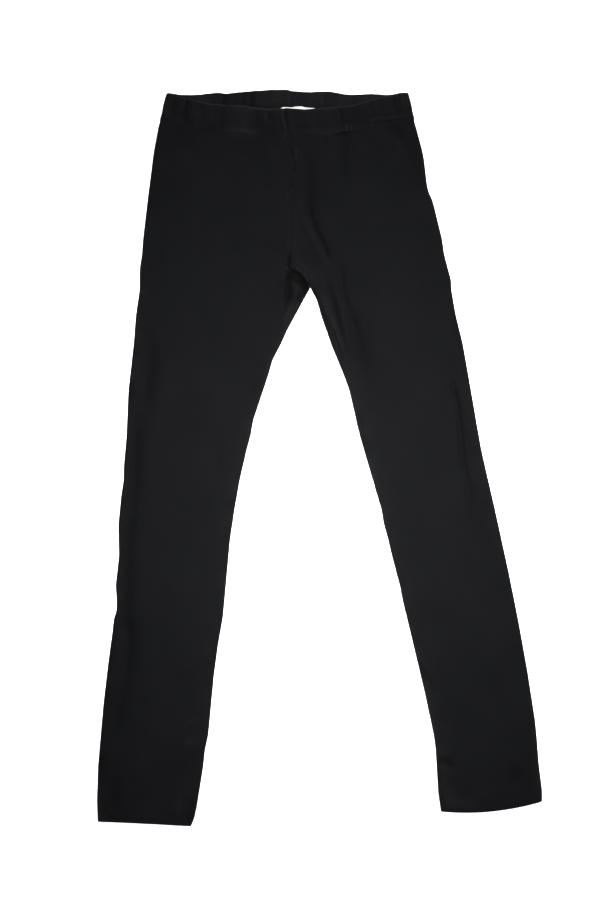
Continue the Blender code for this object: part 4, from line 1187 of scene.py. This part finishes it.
class Nodes:
    """A short way to write a material's nodes."""

    def __init__(self, name):
        self.material = bpy.data.materials.new(name)
        self.material.use_nodes = True
        self.tree = self.material.node_tree
        self.shader = self.tree.nodes["Principled BSDF"]

    def add(self, kind, **values):
        """Add a node; _name is a setting of it, i0 its first input and Name the input of that name."""
        node = self.tree.nodes.new("ShaderNode" + kind)
        for key, value in values.items():
            if key.startswith("_"):
                setattr(node, key[1:], value)
            else:
                self.put(node.inputs[int(key[1:]) if key[1:].isdigit() else key], value)
        return node

    def put(self, socket, value):
        """Link or set one input."""
        if isinstance(value, bpy.types.NodeSocket):
            self.tree.links.new(value, socket)
        else:
            socket.default_value = value

    def shade(self, name, value):
        """Link or set one input of the shader."""
        self.put(self.shader.inputs[name], value)

    def sum(self, operation, a, b=0.0, c=0.0):
        """The result of one sum."""
        return self.add("Math", _operation=operation, i0=a, i1=b, i2=c).outputs[0]

    def layer(self, name):
        """The two values that the mesh holds under this name."""
        return self.add("UVMap", _uv_map=name).outputs["UV"]

    def where(self):
        """The place in space, in metres."""
        return self.add("TexCoord").outputs["Object"]

    def noise(self, place, scale, detail, **values):
        """Soft noise between 0 and 1."""
        return self.add("TexNoise", Vector=place, Scale=scale, Detail=detail, **values).outputs["Fac"]

    def stretch(self, place, scales):
        """The place, scaled along each axis."""
        return self.add("VectorMath", _operation="MULTIPLY", i0=place, i1=scales).outputs[0]

    def ramp(self, amount, colours, ends=(0.0, 1.0)):
        """A colour between two, by an amount."""
        ramp = self.add("ValToRGB", Fac=amount)
        for number in (0, 1):
            ramp.color_ramp.elements[number].position = ends[number]
            ramp.color_ramp.elements[number].color = (*colours[number], 1.0)
        return ramp.outputs["Color"]

    def blend(self, amount, colour, other):
        """The colour, changed to the other one by an amount."""
        node = self.add("Mix", _data_type="RGBA", Factor=amount, i6=colour, i7=(*other, 1.0))
        return node.outputs[2]

    def relief(self, height, strength, depth):
        """Give the surface a fine relief."""
        bump = self.add("Bump", Strength=strength, Distance=depth, Height=height)
        self.shade("Normal", bump.outputs["Normal"])


def knit_height(nodes, place):
    """The face of a plain jersey: columns of small V-shaped loops, from a place on the cloth."""
    parts = nodes.add("SeparateXYZ", Vector=place)
    across = nodes.sum("DIVIDE", parts.outputs["X"], WALE)
    along = nodes.sum("DIVIDE", parts.outputs["Y"], COURSE)
    column = nodes.sum("FRACT", across)
    from_middle = nodes.sum("ABSOLUTE", nodes.sum("SUBTRACT", column, 0.5))
    slant = nodes.sum("MULTIPLY_ADD", from_middle, LOOP_LEAN, along)
    loop = nodes.sum("SINE", nodes.sum("MULTIPLY", slant, 2 * math.pi))
    leg = nodes.sum("SUBTRACT", from_middle, 0.25)
    body = nodes.sum("MULTIPLY", nodes.sum("MULTIPLY", leg, leg), YARN_ROUND)
    height = nodes.sum("MULTIPLY_ADD", loop, LOOP_DEPTH, 1 - LOOP_DEPTH)
    return nodes.sum("MULTIPLY", height, nodes.sum("SUBTRACT", 1.0, body))


def jersey(name, dye):
    """Fine black cotton jersey: knit relief, soft sheen, faint unevenness of the dye, and parts painted
    paler (painted highlight and wear) or darker (painted shade).
    """
    nodes = Nodes(name)
    place = nodes.layer("cloth")
    where = nodes.where()
    cloudy = nodes.noise(where, *CLOUDS[1:], Roughness=0.6)
    mottled = nodes.noise(where, *MOTTLE[1:])
    streaks = nodes.noise(nodes.stretch(place, STREAK_STRETCH), *STREAKS[1:])
    shade = nodes.sum("MULTIPLY_ADD", cloudy, CLOUDS[0], nodes.sum("MULTIPLY", mottled, MOTTLE[0]))
    shade = nodes.sum("MULTIPLY_ADD", streaks, STREAKS[0], shade)
    knit = knit_height(nodes, place)
    shade = nodes.sum("MULTIPLY_ADD", nodes.sum("SUBTRACT", knit, 0.5), KNIT_SHADE, shade)
    # The mesh's layer tells how much paler each place is painted (painted highlight and wear) and how much
    # darker (painted shade in folds)
    fading = nodes.add("SeparateXYZ", Vector=nodes.layer("worn"))
    patchy = nodes.sum("MULTIPLY_ADD", mottled, *WEAR_AND_HIGHLIGHT_PATCHES)
    patchy = nodes.sum("MULTIPLY", fading.outputs["X"], patchy)
    colour = nodes.blend(patchy, nodes.ramp(shade, dye, DYE_RANGE), WORN_AND_HIGHLIGHT_COLOUR)
    nodes.shade("Base Color", nodes.blend(fading.outputs["Y"], colour, FOLD_SHADE_COLOUR))
    rough = nodes.sum("MULTIPLY_ADD", cloudy, CLOUDS_ROUGH, JERSEY_ROUGH - CLOUDS_ROUGH / 2)
    nodes.shade("Roughness", rough)
    nodes.shade("Specular IOR Level", JERSEY_SPECULAR)
    nodes.shade("Sheen Weight", JERSEY_SHEEN)
    nodes.shade("Sheen Roughness", SHEEN_ROUGH)
    nodes.shade("Sheen Tint", SHEEN_TINT)
    fuzz = nodes.noise(where, *FUZZ[1:])
    nodes.relief(nodes.sum("MULTIPLY_ADD", fuzz, FUZZ[0], knit), *JERSEY_RELIEF)
    return nodes.material


def thread_material():
    """Black sewing thread."""
    nodes = Nodes("black_thread")
    twist = nodes.noise(nodes.where(), *TWIST)
    nodes.shade("Base Color", nodes.ramp(twist, THREAD_DYE))
    nodes.shade("Roughness", 0.6)
    nodes.shade("Specular IOR Level", 0.05)
    nodes.relief(twist, *THREAD_RELIEF)
    return nodes.material


def label_material():
    """White woven satin, blank."""
    nodes = Nodes("white_satin")
    weave = nodes.noise(nodes.stretch(nodes.layer("cloth"), SATIN_STRETCH), *WEAVE)
    nodes.shade("Base Color", nodes.ramp(weave, SATIN_WHITE))
    nodes.shade("Roughness", 0.45)
    nodes.relief(weave, *SATIN_RELIEF)
    return nodes.material


# Floor, light and camera


FLOOR_HALF = 60.0         # half its side, in metres
FLOOR_Z = -0.0002
FLOOR_LOOK = {
    "Base Color": (0.9, 0.9, 0.9, 1.0),
    "Roughness": 1.0,
    "Specular IOR Level": 0.0,
    "Emission Color": (1.0, 1.0, 1.0, 1.0),
    "Emission Strength": 0.5,
}
SURROUNDINGS = 0.62       # strength of the white surroundings
OVERHEAD = {
    "place": (0.045, -0.035, 2.6),
    "aim": (0.035, -0.035, 0.0),
    "strength": 2.75,
    "size": 0.4,
    "spread": math.radians(26),
}
UPPER_RIGHT = {
    "place": (2.0, 2.6, 2.6),
    "aim": (0.0, 0.0, 0.0),
    "strength": 5.1,
    "angle": math.radians(14),
}
GAMMA = 0.8


def build_floor():
    """A plain white surface under the garment."""
    mesh = bpy.data.meshes.new("floor")
    sides = [(-1, -1), (1, -1), (1, 1), (-1, 1)]
    corners = [(x * FLOOR_HALF, y * FLOOR_HALF, FLOOR_Z) for x, y in sides]
    mesh.from_pydata(corners, [], [(0, 1, 2, 3)])
    nodes = Nodes("white_floor")
    for name, value in FLOOR_LOOK.items():
        nodes.shade(name, value)
    mesh.materials.append(nodes.material)
    floor = add_object("floor", mesh)


def add_light(name, kind, place, aim, strength, **values):
    """A lamp at a place, aimed at another."""
    light = bpy.data.lights.new(name, kind)
    light.energy = strength
    for key, value in values.items():
        setattr(light, key, value)
    lamp = add_object(name, light)
    lamp.location = place
    lamp.rotation_euler = (Vector(aim) - Vector(place)).to_track_quat("-Z", "Y").to_euler()


def build_studio():
    """White surroundings, a soft light overhead and one from the upper right."""
    world = bpy.data.worlds.new("studio")
    world.use_nodes = True
    background = world.node_tree.nodes["Background"]
    background.inputs["Color"].default_value = (1.0, 1.0, 1.0, 1.0)
    background.inputs["Strength"].default_value = SURROUNDINGS
    scene = bpy.context.scene
    scene.world = world
    add_light("overhead", "AREA", **OVERHEAD)
    add_light("upper_right", "SUN", **UPPER_RIGHT)
    scene.view_settings.view_transform = "Standard"
    scene.view_settings.gamma = GAMMA


IMAGE_TALL = 900
MM_PER_PIXEL = 1.337
CAMERA_PLACE = (-0.0259, 0.0100, 2.4)
SENSOR = 36.0


def build_camera():
    """A camera straight above, with the waist at the top of the picture."""
    data = bpy.data.cameras.new("camera")
    data.sensor_width = SENSOR
    data.lens = SENSOR * CAMERA_PLACE[2] / (IMAGE_TALL * MM_PER_PIXEL * MM)
    camera = add_object("camera", data)
    camera.location = CAMERA_PLACE
    camera.rotation_euler = (0.0, 0.0, 0.0)
    bpy.context.scene.camera = camera


# Everything together


def dress(piece, nodes=()):
    """Tie a piece to the body, and hide the solids that it stands for."""
    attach(piece, "root")
    if nodes:
        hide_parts(*nodes)


def build_all():
    """Build the garment and its surroundings."""
    build_camera()
    cloth = jersey("jersey", JERSEY_DYE)
    casing_cloth = jersey("casing_jersey", CASING_DYE)
    thread = thread_material()
    for name, leg in (("leg_right", RIGHT_LEG), ("leg_left", LEFT_LEG)):
        form = LegForm(leg)
        panel, outer = build_leg(name + "_panel", form, cloth)
        stitches = build_hem_stitches(name + "_hem_stitches", form, outer, thread)
        dress(panel, [name])
        dress(stitches)
    casing = build_casing(casing_cloth)
    casing_stitches = build_casing_stitches(thread)
    dress(casing, ["waistband"])
    dress(casing_stitches)
    label = build_label(label_material())
    dress(label, ["label"])
    build_floor()
    build_studio()


build_all()
